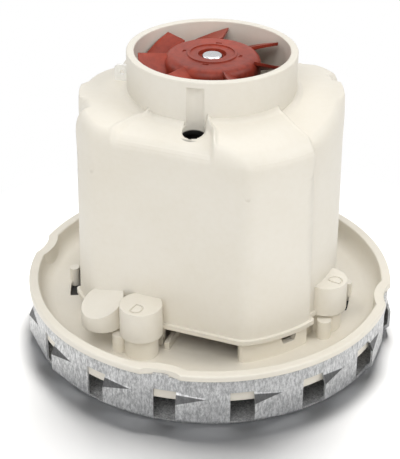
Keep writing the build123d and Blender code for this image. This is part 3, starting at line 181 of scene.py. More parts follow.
@dataclass(frozen=True)
class Finish:
    """Look of one material slot.

    Args:
        slot: Name of the record's material slot.
        base: Main colour, linear.
        shade: Colour of the cloudy variation, linear.
        pattern: Close-up pattern of the surface.
        roughness: Roughness of the shader.
        metallic: Metallic value of the shader.
        grain: Height of the fine grain in metres.
        cloud: Share of the variation colour.
        mark: Share of that colour in the marks of the pattern.
        gloss: Specular level of the shader.
        eased_wall: Whether the upright corners of the housing's wall look widely rounded.
        shadow: Painted shade laid over the finish.
    """

    slot: str
    base: Colour
    shade: Colour
    pattern: Pattern
    roughness: float
    metallic: float = 0.0
    grain: float = 0.00001
    cloud: float = 0.5
    mark: float = 0.55
    gloss: float = 0.5
    eased_wall: bool = False
    shadow: Shadow | None = None


FINISHES = (
    Finish(
        "ivory_plastic", (0.81, 0.77, 0.685), (0.76, 0.71, 0.605), Pattern.MOULDED,
        roughness=0.46, grain=0.000015, cloud=0.6,
        # Painted shade: near-black laid over the ivory on the floor of the hole beside the collar
        eased_wall=True, shadow=Shadow(Effect.HOLE_SHADE, (0.012, 0.011, 0.01)),
    ),
    Finish(
        "red_plastic", (0.36, 0.052, 0.026), (0.12, 0.016, 0.010), Pattern.MOULDED,
        roughness=0.38, grain=0.00006, cloud=0.9, gloss=0.22,
    ),
    Finish(
        "galvanised_steel", (0.88, 0.885, 0.88), (0.19, 0.193, 0.203), Pattern.SPANGLE,
        roughness=0.36, metallic=0.35, cloud=0.2, mark=0.75,
        # Painted shade: near-black laid over the wedges under the louvres' lips
        shadow=Shadow(Effect.LOUVRE_SHADE, (0.035, 0.035, 0.036), 0.9),
    ),
    Finish(
        "black_steel", (0.016, 0.016, 0.017), (0.03, 0.029, 0.028), Pattern.MOULDED,
        roughness=0.4, grain=0.00002, cloud=0.7,
    ),
    Finish(
        "zinc_steel", (0.52, 0.53, 0.53), (0.38, 0.39, 0.40), Pattern.PLATED,
        roughness=0.3, metallic=1.0, cloud=0.6,
    ),
    Finish(
        "bearing_steel", (0.6, 0.6, 0.61), (0.5, 0.5, 0.51), Pattern.TURNED,
        roughness=0.18, metallic=1.0, cloud=0.4,
    ),
    Finish(
        "rubber", (0.018, 0.018, 0.018), (0.03, 0.03, 0.029), Pattern.MOULDED,
        roughness=0.72, grain=0.00003, cloud=0.6,
    ),
    Finish(
        "lamination_steel", (0.15, 0.15, 0.155), (0.09, 0.085, 0.08), Pattern.STACKED,
        roughness=0.42, metallic=0.8, cloud=0.6,
    ),
    Finish(
        "copper_winding", (0.42, 0.13, 0.045), (0.25, 0.07, 0.025), Pattern.WOUND,
        roughness=0.32, metallic=0.75, cloud=0.7,
    ),
    Finish(
        "copper_bars", (0.62, 0.28, 0.15), (0.35, 0.14, 0.08), Pattern.TURNED,
        roughness=0.28, metallic=1.0, cloud=0.6,
    ),
    Finish(
        "brass", (0.56, 0.38, 0.12), (0.42, 0.27, 0.08), Pattern.PLATED,
        roughness=0.32, metallic=1.0, cloud=0.6,
    ),
    Finish(
        "carbon", (0.028, 0.028, 0.03), (0.05, 0.05, 0.052), Pattern.PRESSED,
        roughness=0.55, metallic=0.2, grain=0.00003, cloud=0.7,
    ),
    Finish(
        "spring_steel", (0.35, 0.36, 0.37), (0.25, 0.25, 0.26), Pattern.PLATED,
        roughness=0.3, metallic=1.0,
    ),
    Finish(
        "tinned_blade", (0.88, 0.88, 0.86), (0.78, 0.77, 0.74), Pattern.PLATED,
        roughness=0.34, metallic=0.4,
    ),
    Finish(
        "shaft_steel", (0.58, 0.59, 0.6), (0.45, 0.45, 0.46), Pattern.TURNED,
        roughness=0.22, metallic=1.0,
    ),
    Finish(
        "aluminium", (0.62, 0.63, 0.64), (0.5, 0.51, 0.52), Pattern.TURNED,
        roughness=0.3, metallic=1.0,
    ),
)


@dataclass(frozen=True)
class TallWall:
    """Heights and edge widths of the housing's wall, in metres.

    Args:
        foot: Heights between which the wide edges begin.
        head: Heights between which they end.
        widths: Width of the edges away from the wall and on it.
    """

    foot: tuple[float, float] = (0.040, 0.050)
    head: tuple[float, float] = (0.086, 0.092)
    widths: tuple[float, float] = (0.0004, 0.005)


@dataclass(frozen=True)
class CollarHole:
    """The hole beside the collar, in millimetres and degrees, and its painted shade, in metres.

    Args:
        circle: Distance from the spin axis.
        angle: Angle round the spin axis.
        radius: Radius of the hole.
        fade_outwards: Radii between which the shade ends.
        fade_upwards: Heights between which it ends.
        fade_downwards: Heights between which it begins.
    """

    circle: float = 35.2
    angle: float = -80.0
    radius: float = 4.3
    fade_outwards: tuple[float, float] = (0.0054, 0.0058)
    fade_upwards: tuple[float, float] = (0.1019, 0.1024)
    fade_downwards: tuple[float, float] = (0.094, 0.096)

    def middle(self) -> Vector:
        """Finds the middle of the hole, seen from above."""
        return Vector((self.circle * cos(radians(self.angle)), self.circle * sin(radians(self.angle))))


@dataclass(frozen=True)
class Louvres:
    """The painted shade: dark wedges under the lips of the fan cover's louvres, in metres and radians.

    Args:
        count: Number of louvres.
        start: Angle where the first wedge begins.
        share: Share of a louvre's step that its wedge takes.
        middle: Height of the wedges.
        half_height: Half the height of a wedge at its wide end.
        soft_edge: Distance over which a wedge turns dark.
    """

    count: int = 16
    start: float = radians(-78.75)
    share: float = 9.4 / 22.5
    middle: float = 0.0126
    half_height: float = 0.0019
    soft_edge: float = 0.0003


WALL = TallWall()
HOLE = CollarHole()
LOUVRES = Louvres()


@dataclass
class Graph:
    """Short way to write a node tree.

    Args:
        tree: The tree that the nodes go into.
    """

    tree: bpy.types.NodeTree

    def node(self, kind: str, settings: dict[str, object] | None = None, **inputs: Feed) -> bpy.types.Node:
        """Adds a node.

        Args:
            kind: Type of the node, such as "ShaderNodeMath".
            settings: Properties of the node.
            **inputs: Values or sockets by input name, with "_" for a space.

        Returns:
            The new node.
        """
        made = self.tree.nodes.new(kind)
        for name, value in (settings or {}).items():
            setattr(made, name, value)
        for name, value in inputs.items():
            self.feed(made.inputs[name.replace("_", " ")], value)
        return made

    def feed(self, socket: bpy.types.NodeSocket, value: Feed) -> None:
        """Links a socket to an input, or sets its value.

        Args:
            socket: The input.
            value: A socket, a number, a colour or a vector.
        """
        if isinstance(value, bpy.types.NodeSocket):
            self.tree.links.new(value, socket)
        elif socket.type == "RGBA":
            socket.default_value = (*value, 1.0)
        else:
            socket.default_value = value

    def takes(self, *names: str) -> bpy.types.NodeOutputs:
        """Adds inputs to a group.

        Args:
            *names: Names of the inputs.

        Returns:
            The sockets that hold what comes in.
        """
        for name in names:
            self.tree.interface.new_socket(name=name, in_out="INPUT", socket_type=SOCKET_KINDS[name])
        return self.node("NodeGroupInput").outputs

    def gives(self, **results: bpy.types.NodeSocket) -> None:
        """Adds outputs to a group.

        Args:
            **results: What each output puts out, by its name.
        """
        for name in results:
            self.tree.interface.new_socket(name=name, in_out="OUTPUT", socket_type=SOCKET_KINDS[name])
        self.node("NodeGroupOutput", None, **results)

    def place(self) -> bpy.types.NodeSocket:
        """Gives the place on the surface, in metres."""
        return self.node("ShaderNodeTexCoord").outputs["Object"]

    def place_parts(self) -> bpy.types.NodeOutputs:
        """Gives the X, Y and Z of the place on the surface, in metres."""
        return self.node("ShaderNodeSeparateXYZ", None, Vector=self.place()).outputs

    def math(self, operation: str, first: Feed, second: Feed = 0.0) -> bpy.types.NodeSocket:
        """Adds a math node.

        Args:
            operation: Name of the operation.
            first: First value or socket.
            second: Second value or socket.

        Returns:
            The result socket.
        """
        made = self.node("ShaderNodeMath", {"operation": operation})
        self.feed(made.inputs[0], first)
        self.feed(made.inputs[1], second)
        return made.outputs[0]

    def product(self, *factors: Feed) -> bpy.types.NodeSocket:
        """Multiplies values.

        Args:
            *factors: Two or more values or sockets.

        Returns:
            The result socket.
        """
        result = factors[0]
        for factor in factors[1:]:
            result = self.math("MULTIPLY", result, factor)
        return result

    def blend(self, share: Feed, first: Feed, second: Feed) -> bpy.types.NodeSocket:
        """Mixes two colours.

        Args:
            share: Share of the second colour.
            first: First colour or socket.
            second: Second colour or socket.

        Returns:
            The colour socket.
        """
        made = self.node("ShaderNodeMix", {"data_type": "RGBA"}, Factor=share)
        self.feed(made.inputs[MIX_FIRST], first)
        self.feed(made.inputs[MIX_SECOND], second)
        return made.outputs[MIX_RESULT]

    def level(
        self, value: Feed, low: float, high: float, start: float = 0.0, end: float = 1.0
    ) -> bpy.types.NodeSocket:
        """Maps a range of values onto another and clamps it.

        Args:
            value: Socket to map.
            low: Value that becomes start.
            high: Value that becomes end.
            start: Result at low.
            end: Result at high.

        Returns:
            The result socket.
        """
        made = self.node(
            "ShaderNodeMapRange", {"clamp": True},
            Value=value, From_Min=low, From_Max=high, To_Min=start, To_Max=end,
        )
        return made.outputs[0]

    def bump(self, **inputs: Feed) -> bpy.types.NodeSocket:
        """Adds a bump node.

        Args:
            **inputs: Values or sockets by input name.

        Returns:
            The normal socket.
        """
        return self.node("ShaderNodeBump", None, **inputs).outputs[0]


@dataclass
class Effects:
    """Shader node groups that the materials share. Each is made once, when it is first asked for.

    Args:
        made: The groups that have been made.
    """

    made: dict[Effect, bpy.types.NodeTree] = field(default_factory=dict)

    def add(self, graph: Graph, effect: Effect, **inputs: Feed) -> bpy.types.NodeOutputs:
        """Puts a group into a material.

        Args:
            graph: Writer for the material.
            effect: The group.
            **inputs: Values or sockets by input name.

        Returns:
            The outputs of the group.
        """
        return graph.node("ShaderNodeGroup", {"node_tree": self.get(effect)}, **inputs).outputs

    def get(self, effect: Effect) -> bpy.types.NodeTree:
        """Finds or makes a group.

        Args:
            effect: The group; the method with its name fills it, or marks does.

        Returns:
            The node group.
        """
        if effect not in self.made:
            tree = bpy.data.node_groups.new(effect.value, "ShaderNodeTree")
            self.made[effect] = tree
            if effect in WAVES:
                self.marks(Graph(tree), WAVES[effect])
            else:
                getattr(self, effect.value)(Graph(tree))
        return self.made[effect]

    @staticmethod
    def cloudy_tone(graph: Graph) -> None:
        """Colour that drifts in soft clouds and in fine mottling.

        Args:
            graph: Writer for the group.
        """
        given = graph.takes("Base", "Shade", "Amount")
        place = graph.place()
        wide = graph.node("ShaderNodeTexNoise", None, Vector=place, Scale=22.0, Detail=4.0, Roughness=0.55)
        fine = graph.node("ShaderNodeTexNoise", None, Vector=place, Scale=420.0, Detail=3.0, Roughness=0.6)
        wide_share = graph.level(wide.outputs[0], low=0.36, high=0.68)
        fine_share = graph.level(fine.outputs[0], low=0.4, high=0.75, end=0.4)
        share = graph.product(graph.math("ADD", wide_share, fine_share), given["Amount"])
        clamped = graph.level(share, low=0.0, high=1.0)
        graph.gives(Color=graph.blend(clamped, given["Base"], given["Shade"]))

    @staticmethod
    def fine_grain(graph: Graph) -> None:
        """Bump of a moulded or pressed skin, with eased edges.

        Args:
            graph: Writer for the group.
        """
        given = graph.takes("Scale", "Height", "Edge")
        noise = graph.node("ShaderNodeTexNoise", None, Vector=graph.place(), Scale=given["Scale"], Detail=3.0)
        eased = graph.node("ShaderNodeBevel", {"samples": 6}, Radius=given["Edge"])
        normal = graph.bump(
            Height=noise.outputs[0], Distance=given["Height"], Normal=eased.outputs[0], Strength=0.5
        )
        graph.gives(Normal=normal)

    @staticmethod
    def wall_corner(graph: Graph) -> None:
        """Width of the eased edges: large on the housing's tall wall, small everywhere else.

        Args:
            graph: Writer for the group.
        """
        height = graph.place_parts()["Z"]
        above = graph.level(height, *WALL.foot)
        below = graph.level(height, *WALL.head, start=1.0, end=0.0)
        graph.gives(Edge=graph.level(graph.product(above, below), 0.0, 1.0, *WALL.widths))

    @staticmethod
    def hole_shade(graph: Graph) -> None:
        """Painted deep shade in the hole beside the collar.

        Args:
            graph: Writer for the group.
        """
        part = graph.place_parts()
        middle = HOLE.middle() / MM_PER_METRE
        along = graph.math("SUBTRACT", part["X"], middle.x)
        across = graph.math("SUBTRACT", part["Y"], middle.y)
        squares = graph.math("ADD", graph.product(along, along), graph.product(across, across))
        inside = graph.level(graph.math("SQRT", squares), *HOLE.fade_outwards, start=1.0, end=0.0)
        deep = graph.level(part["Z"], *HOLE.fade_upwards, start=1.0, end=0.0)
        high = graph.level(part["Z"], *HOLE.fade_downwards)
        graph.gives(Mask=graph.product(inside, deep, high))

    @staticmethod
    def louvre_shade(graph: Graph) -> None:
        """Painted shade: a dark wedge under the lip of each louvre.

        Args:
            graph: Writer for the group.
        """
        part = graph.place_parts()
        angle = graph.math("ARCTAN2", part["Y"], part["X"])
        turns = graph.product(graph.math("SUBTRACT", angle, LOUVRES.start), LOUVRES.count / (2 * pi))
        past = graph.math("DIVIDE", graph.math("FRACT", turns), LOUVRES.share)
        reach = graph.product(graph.math("SUBTRACT", 1.0, past), LOUVRES.half_height)
        off = graph.math("ABSOLUTE", graph.math("SUBTRACT", part["Z"], LOUVRES.middle))
        graph.gives(Mask=graph.level(graph.math("SUBTRACT", reach, off), 0.0, LOUVRES.soft_edge))

    @staticmethod
    def spangle(graph: Graph) -> None:
        """Upright streaks and crystals of zinc on drawn sheet.

        Args:
            graph: Writer for the group.
        """
        drawn = graph.node("ShaderNodeMapping", None, Vector=graph.place(), Scale=(1.0, 1.0, 0.35))
        streaks = graph.node(
            "ShaderNodeTexNoise", None, Vector=drawn.outputs[0], Scale=1500.0, Detail=4.0, Roughness=0.75
        )
        crystals = graph.node("ShaderNodeTexVoronoi", None, Vector=drawn.outputs[0], Scale=900.0)
        streak_share = graph.level(streaks.outputs[0], low=0.40, high=0.62, end=0.75)
        crystal_share = graph.product(crystals.outputs["Color"], 0.5)
        mask = graph.math("ADD", streak_share, crystal_share)
        normal = graph.bump(Height=mask, Distance=0.00002, Strength=0.6)
        graph.gives(Mask=graph.level(mask, low=0.0, high=1.0), Normal=normal)

    @staticmethod
    def marks(graph: Graph, wave: Wave) -> None:
        """Turning marks, stacked sheets or wires.

        Args:
            graph: Writer for the group.
            wave: The marks.
        """
        drawn = graph.node(
            "ShaderNodeTexWave",
            {"wave_type": wave.course.value, "rings_direction": "Z", "bands_direction": "Z"},
            Vector=graph.place(), Scale=wave.scale, Distortion=wave.distortion, Detail=wave.detail,
        )
        mask = drawn.outputs["Fac"]
        graph.gives(Mask=mask, Normal=graph.bump(Height=mask, Distance=wave.height, Strength=wave.strength))


@dataclass
class Palette:
    """Materials by slot, built from the finishes.

    Args:
        effects: Shared node groups.
        materials: The materials that have been built.
    """

    effects: Effects = field(default_factory=Effects)
    materials: dict[str, bpy.types.Material] = field(default_factory=dict)

    def build(self, finish: Finish) -> None:
        """Builds the material of one finish.

        Args:
            finish: The finish.
        """
        material = bpy.data.materials.new(finish.slot)
        material.use_nodes = True
        graph = Graph(material.node_tree)
        shader = material.node_tree.nodes["Principled BSDF"]
        shader.inputs["Metallic"].default_value = finish.metallic
        shader.inputs["Specular IOR Level"].default_value = finish.gloss
        tone = self.effects.add(
            graph, Effect.CLOUDY_TONE, Base=finish.base, Shade=finish.shade, Amount=finish.cloud
        )
        colour = tone["Color"]
        if finish.pattern in PATTERN_EFFECTS:
            marks = self.effects.add(graph, PATTERN_EFFECTS[finish.pattern])
            colour = graph.blend(graph.product(marks["Mask"], finish.mark), colour, finish.shade)
            least, most = finish.roughness - ROUGHNESS_SWING, finish.roughness + ROUGHNESS_SWING
            graph.feed(shader.inputs["Roughness"], graph.level(marks["Mask"], 0.0, 1.0, least, most))
        else:
            marks = self.grain(graph, finish)
            shader.inputs["Roughness"].default_value = finish.roughness
        # Painted shade: the finish's shadow colour is laid over the colour where its mask is
        if finish.shadow:
            dark = self.effects.add(graph, finish.shadow.effect)
            share = graph.product(dark["Mask"], finish.shadow.share)
            colour = graph.blend(share, colour, finish.shadow.colour)
        graph.feed(shader.inputs["Base Color"], colour)
        graph.feed(shader.inputs["Normal"], marks["Normal"])
        self.materials[finish.slot] = material

    def grain(self, graph: Graph, finish: Finish) -> bpy.types.NodeOutputs:
        """Adds the fine grain of a finish.

        Args:
            graph: Writer for the material.
            finish: The finish.

        Returns:
            The outputs of the grain's group.
        """
        edge = self.effects.add(graph, Effect.WALL_CORNER)["Edge"] if finish.eased_wall else SMALL_EDGE
        scale = GRAIN_SCALES[finish.pattern]
        return self.effects.add(graph, Effect.FINE_GRAIN, Scale=scale, Height=finish.grain, Edge=edge)

    def dress(self) -> None:
        """Gives every node of the frame the material of its slot."""
        for finish in FINISHES:
            self.build(finish)
        for part in frame["record"]["subparts"]:
            mesh = frame["nodes"][part["node"]].data
            mesh.materials.clear()
            mesh.materials.append(self.materials[part["material_slot"]])
            log.info("%s is dressed in %s", part["node"], part["material_slot"])


@dataclass
class BrushSprings:
    """The two brush springs, which get shorter when their carbon brushes slide outwards.

    Args:
        joints: The slide that shortens each spring.
        travel: How far a brush slides out, in metres. Not used.
    """

    joints: dict[str, str] = field(
        default_factory=lambda: {
            "brush_spring_right": "brush_right_slide",
            "brush_spring_left": "brush_left_slide",
        }
    )
    travel: float = 0.003

    def shorten(self) -> None:
        """Gives each spring its own copy of its mesh."""
        for name, joint in self.joints.items():
            spring = frame["nodes"][name]
            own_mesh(spring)


@dataclass(frozen=True)
class HousingTop:
    """Measures of the top of the motor housing, in millimetres and degrees.

    The share is 0 at the collar and 1 at the wall.

    Args:
        collar: Radius of the collar.
        flat: Distance of the flats from the spin axis.
        wing: Radius of the wings.
        side: Radius of the sides.
        corner_blend: How far a flat and a wing run into each other.
        least_across: Smallest sine for which a flat is worked out.
        side_start: Angle where a side begins.
        side_end: Angle where a side ends.
        side_ease: Turn over which a side steps in from a wing.
        low_foot: Height of the low panel at the collar.
        mid_foot: Height of the middle panel at the collar.
        mid_bulge: How far the middle panel bulges.
        crease: Height of the panels at the wall.
        block_base: Height of the side block beside its pillow.
        crest: Height of the pillow's crest.
        crest_angle: Angle of the crest.
        crest_reach: Distance over which the pillow falls.
        sharp_start: Angle where the pillow's outer corner turns sharp.
        sharp_in: Turn over which it does.
        sharp_end: Angle where it turns round again.
        sharp_out: Turn over which it does.
        low_start: Angle where the low panel begins.
        low_bow: How far the low panel's border bows, halfway to the wall.
        mid_start: Angle where the middle panel begins.
        mid_end: Angle where the middle panel ends.
        swing: How far the borders of the middle panel swing out at the collar.
        start_swing_reach: Share at which the swing of its start has ended.
        end_swing_reach: Share at which the swing of its end has ended.
        step: Width of the step between two panels.
        rises: Height of the ridge on each border, in the order of the borders.
        rise_width: Half the width of a ridge.
        rise_fade: The ridges fade over the last part of the share, one divided by this.
        foot_rise: Height of the round foot at the collar.
        foot_width: Width of that foot.
        roll: Width of the rolled edge.
        least_roll: Width of the edge where it is sharp.
        hem: Height of the lower end of the rolled edge.
        overrun: How far the skin reaches past the wall.
        lift: Gap that keeps the skin clear of the moulding below.
    """

    collar: float = 32.8
    flat: float = 45.15
    wing: float = 54.55
    side: float = 51.25
    corner_blend: float = 0.6
    least_across: float = 0.05
    side_start: float = -26.2
    side_end: float = 42.3
    side_ease: float = 2.0
    low_foot: float = 104.5
    mid_foot: float = 106.4
    mid_bulge: float = 1.5
    crease: float = 100.0
    block_base: float = 100.5
    crest: float = 105.1
    crest_angle: float = 27.0
    crest_reach: float = 38.0
    sharp_start: float = 9.9
    sharp_in: float = 8.0
    sharp_end: float = 29.0
    sharp_out: float = 4.0
    low_start: float = -116.5
    low_bow: float = 3.6
    mid_start: float = -69.6
    mid_end: float = -25.4
    swing: float = 4.0
    start_swing_reach: float = 0.45
    end_swing_reach: float = 0.6
    step: float = 1.0
    rises: tuple[float, float, float, float] = (1.5, 1.7, 1.8, 1.5)
    rise_width: float = 0.85
    rise_fade: float = 6.0
    foot_rise: float = 1.5
    foot_width: float = 2.2
    roll: float = 4.0
    least_roll: float = 0.5
    hem: float = 96.3
    overrun: float = 0.3
    lift: float = 0.2

    def edge(self, angle: float) -> float:
        """Finds the radius of the wall.

        Args:
            angle: Angle round the spin axis, -116 to 64.

        Returns:
            The radius.
        """
        across = abs(sin(radians(angle)))
        flat = self.flat / max(across, self.least_across)
        soft = self.wing - self.corner_blend * soft_rise((self.wing - flat) / self.corner_blend)
        step_in = smooth((angle - self.side_start) / self.side_ease)
        step_out = smooth((angle - self.side_end + self.side_ease) / self.side_ease)
        return soft - (self.wing - self.side) * (step_in - step_out)

    def borders(self, share: float) -> tuple[float, float, float, float]:
        """Finds the angles of the borders between the panels.

        Args:
            share: Share of the way from the collar to the wall.

        Returns:
            The start of the low panel, of the middle panel and of the block, and the block's end.
        """
        low = self.low_start - self.low_bow * sin(pi * share)
        mid = self.mid_start - self.swing * (1.0 - smooth(share / self.start_swing_reach))
        block = self.mid_end + self.swing * (1.0 - smooth(share / self.end_swing_reach))
        return low, mid, block, low + 180.0

    def panels(self, radius: float, angle: float) -> tuple[float, float, float]:
        """Finds the heights that the panels would have if each went all the way round.

        Args:
            radius: Distance from the spin axis.
            angle: Angle round the spin axis, -116 to 64.

        Returns:
            The heights of the low panel, the middle panel and the side block.
        """
        out = max(0.0, radius * abs(sin(radians(angle))) - self.collar)
        low = self.low_foot + (self.crease - self.low_foot) * out / (self.flat - self.collar)
        run = (radius - self.collar) / (self.wing - self.collar)
        bulge = 4.0 * self.mid_bulge * run * (1.0 - run)
        mid = self.mid_foot + (self.crease - self.mid_foot) * run + bulge
        aside = radius * sin(radians(angle - self.crest_angle)) / self.crest_reach
        block = self.block_base + (self.crest - self.block_base) * max(0.0, 1.0 - aside * aside)
        return low, mid, block

    def height(self, radius: float, angle: float) -> float:
        """Finds the height of the top.

        Args:
            radius: Distance from the spin axis.
            angle: Angle round the spin axis, -116 to 64.

        Returns:
            The height.
        """
        share = (radius - self.collar) / (self.edge(angle) - self.collar)
        low, mid, block = self.panels(radius, angle)
        borders = self.borders(max(0.0, min(1.0, share)))
        step = degrees(self.step / radius)
        to_low, to_mid, to_block, to_end = (smooth((angle - border) / step) for border in borders)
        top = block + (low - block) * to_low + (mid - low) * to_mid + (block - mid) * to_block
        top += (low - block) * to_end
        for border, rise in zip(borders, self.rises):
            beside = radius * radians(angle - border - step) / self.rise_width
            top += rise * exp(-beside * beside) * smooth((1.0 - share) * self.rise_fade)
        foot = max(0.0, 1.0 - (radius - self.collar) / self.foot_width)
        return top + self.lift + self.foot_rise * foot * foot

    def rolled(self, radius: float, angle: float) -> float:
        """Finds the height of the top with its rounded outer edge.

        Args:
            radius: Distance from the spin axis.
            angle: Angle round the spin axis, -116 to 64.

        Returns:
            The height.
        """
        top = self.height(radius, angle)
        turned_sharp = smooth((angle - self.sharp_start) / self.sharp_in)
        turned_round = smooth((angle - self.sharp_end) / self.sharp_out)
        roll = self.roll - (self.roll - self.least_roll) * (turned_sharp - turned_round)
        left = min(1.0, (self.edge(angle) + self.overrun - radius) / roll)
        return self.hem + (top - self.hem) * sqrt(max(0.0, 1.0 - (1.0 - left) ** 2))


@dataclass
class ShoulderSkin:
    """Smooth moulded skin of the housing's top: rolled edge, bordered panels and round side blocks.

    Args:
        top: Measures of the housing's top.
        start: Angle where the columns begin.
        columns: Steps round the spin axis, in half a turn.
        rows: Steps from the collar to the wall.
        row_power: Power of the rows' spacing, which lie closer together towards the wall.
        inset: How far the skin reaches inside the collar's radius, in millimetres.
        thickness: Thickness of the skin, in millimetres.
        snap: How close to the hole's rim a corner is moved onto it, in millimetres.
        hem_steps: How far the hem has drawn in, and how far down, where it runs into the wall.
    """

    top: HousingTop = field(default_factory=HousingTop)
    start: float = -116.0
    columns: int = 300
    rows: int = 30
    row_power: float = 0.8
    inset: float = 0.2
    thickness: float = 0.5
    snap: float = 0.34
    hem_steps: tuple[tuple[float, float], ...] = (
        (0.03, 2.0), (0.06, 4.2), (0.10, 6.5), (0.16, 9.5), (0.24, 12.5), (1.3, 17.5),
    )

    def column(self, angle: float) -> list[tuple[float, float]]:
        """Finds the section of the skin at an angle.

        Args:
            angle: Angle round the spin axis, -116 to 64.

        Returns:
            Radius and height of each point, from the collar outwards.
        """
        edge = self.top.edge(angle) + self.top.overrun
        inner = self.top.collar - self.inset
        section = []
        for k in range(self.rows + 1):
            share = sin(0.5 * pi * k / self.rows) ** self.row_power
            radius = inner + (edge - inner) * share
            section.append((radius, self.top.rolled(radius, angle)))
        for inward, below in self.hem_steps:
            section.append((edge - inward, self.top.hem - below))
        return section

    def rings(self, shape: bmesh.types.BMesh) -> list[list[bmesh.types.BMVert]]:
        """Sets the corners of the skin, with the same half made twice.

        Args:
            shape: The mesh that gets them.

        Returns:
            The corners of each column, from the collar outwards.
        """
        hole = HOLE.middle()
        rings = []
        for half in (0, 180):
            for k in range(self.columns):
                angle = self.start + 180.0 * k / self.columns
                ring = []
                for radius, height in self.column(angle):
                    spot = Vector((radius * cos(radians(angle + half)), radius * sin(radians(angle + half))))
                    gap = spot - hole
                    if abs(gap.length - HOLE.radius) < self.snap:
                        spot = hole + gap.normalized() * HOLE.radius
                    place = (spot.x / MM_PER_METRE, spot.y / MM_PER_METRE, height / MM_PER_METRE)
                    ring.append(shape.verts.new(place))
                rings.append(ring)
        return rings

    @staticmethod
    def cover(shape: bmesh.types.BMesh, rings: list[list[bmesh.types.BMVert]]) -> None:
        """Lays the faces between the columns and leaves the hole beside the collar open.

        Args:
            shape: The mesh that gets them.
            rings: The corners of each column.
        """
        hole = HOLE.middle()
        for k, ring in enumerate(rings):
            after = rings[(k + 1) % len(rings)]
            for j in range(len(ring) - 1):
                corners = (ring[j], ring[j + 1], after[j + 1], after[j])
                middle = sum((corner.co for corner in corners), Vector()) / len(corners) * MM_PER_METRE
                if (middle.xy - hole).length >= HOLE.radius:
                    shape.faces.new(corners)
        loose = [corner for corner in shape.verts if not corner.link_faces]
        bmesh.ops.delete(shape, geom=loose, context="VERTS")

    def build(self, material: bpy.types.Material) -> None:
        """Builds the skin and lets it ride on the frame.

        Args:
            material: Finish of the skin.
        """
        shape = bmesh.new()
        self.cover(shape, self.rings(shape))
        bmesh.ops.recalc_face_normals(shape, faces=shape.faces)
        if sum(face.normal.z for face in shape.faces) < 0:
            bmesh.ops.reverse_faces(shape, faces=shape.faces)
        bmesh.ops.solidify(shape, geom=list(shape.faces), thickness=self.thickness / MM_PER_METRE)
        for face in shape.faces:
            face.smooth = True
        mesh = bpy.data.meshes.new("shoulder_skin")
        shape.to_mesh(mesh)
        shape.free()
        mesh.materials.append(material)
        skin = bpy.data.objects.new("shoulder_skin", mesh)
        bpy.context.scene.collection.objects.link(skin)
        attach(skin, "frame")
        log.info("shoulder_skin has %d faces", len(mesh.polygons))


class Receiver(Enum):
    """What a lamp's light reaches; the value is the floor's state in the lamp's collection."""

    OBJECT = "EXCLUDE"
    FLOOR = "INCLUDE"


@dataclass(frozen=True)
class Lamp:
    """A soft rectangular lamp.

    Args:
        name: Name of the lamp.
        place: Where it stands, in metres.
        size: Its sides, in metres.
        watts: Its power.
        tint: Its colour.
        lights: What its light reaches.
    """

    name: str
    place: tuple[float, float, float]
    size: tuple[float, float]
    watts: float
    tint: Colour = (1.0, 1.0, 1.0)
    lights: Receiver = Receiver.OBJECT


LAMPS = (
    Lamp("floor_key", (-0.13, 0.50, 1.12), (0.45, 0.45), 24.0, (1.0, 0.985, 0.96), Receiver.FLOOR),
    Lamp("back", (-0.12, 0.45, 1.15), (0.9, 0.9), 5.2, (1.0, 0.995, 0.985)),
    Lamp("top_front", (0.05, -0.68, 1.0), (0.7, 0.7), 6.0, (1.0, 0.995, 0.985)),
    Lamp("front", (0.30, -1.30, 0.42), (1.3, 0.5), 4.0),
    Lamp("right", (0.85, 0.05, 0.85), (0.7, 0.6), 5.5),
    Lamp("left", (-0.95, -0.15, 0.70), (0.8, 0.6), 2.4),
)


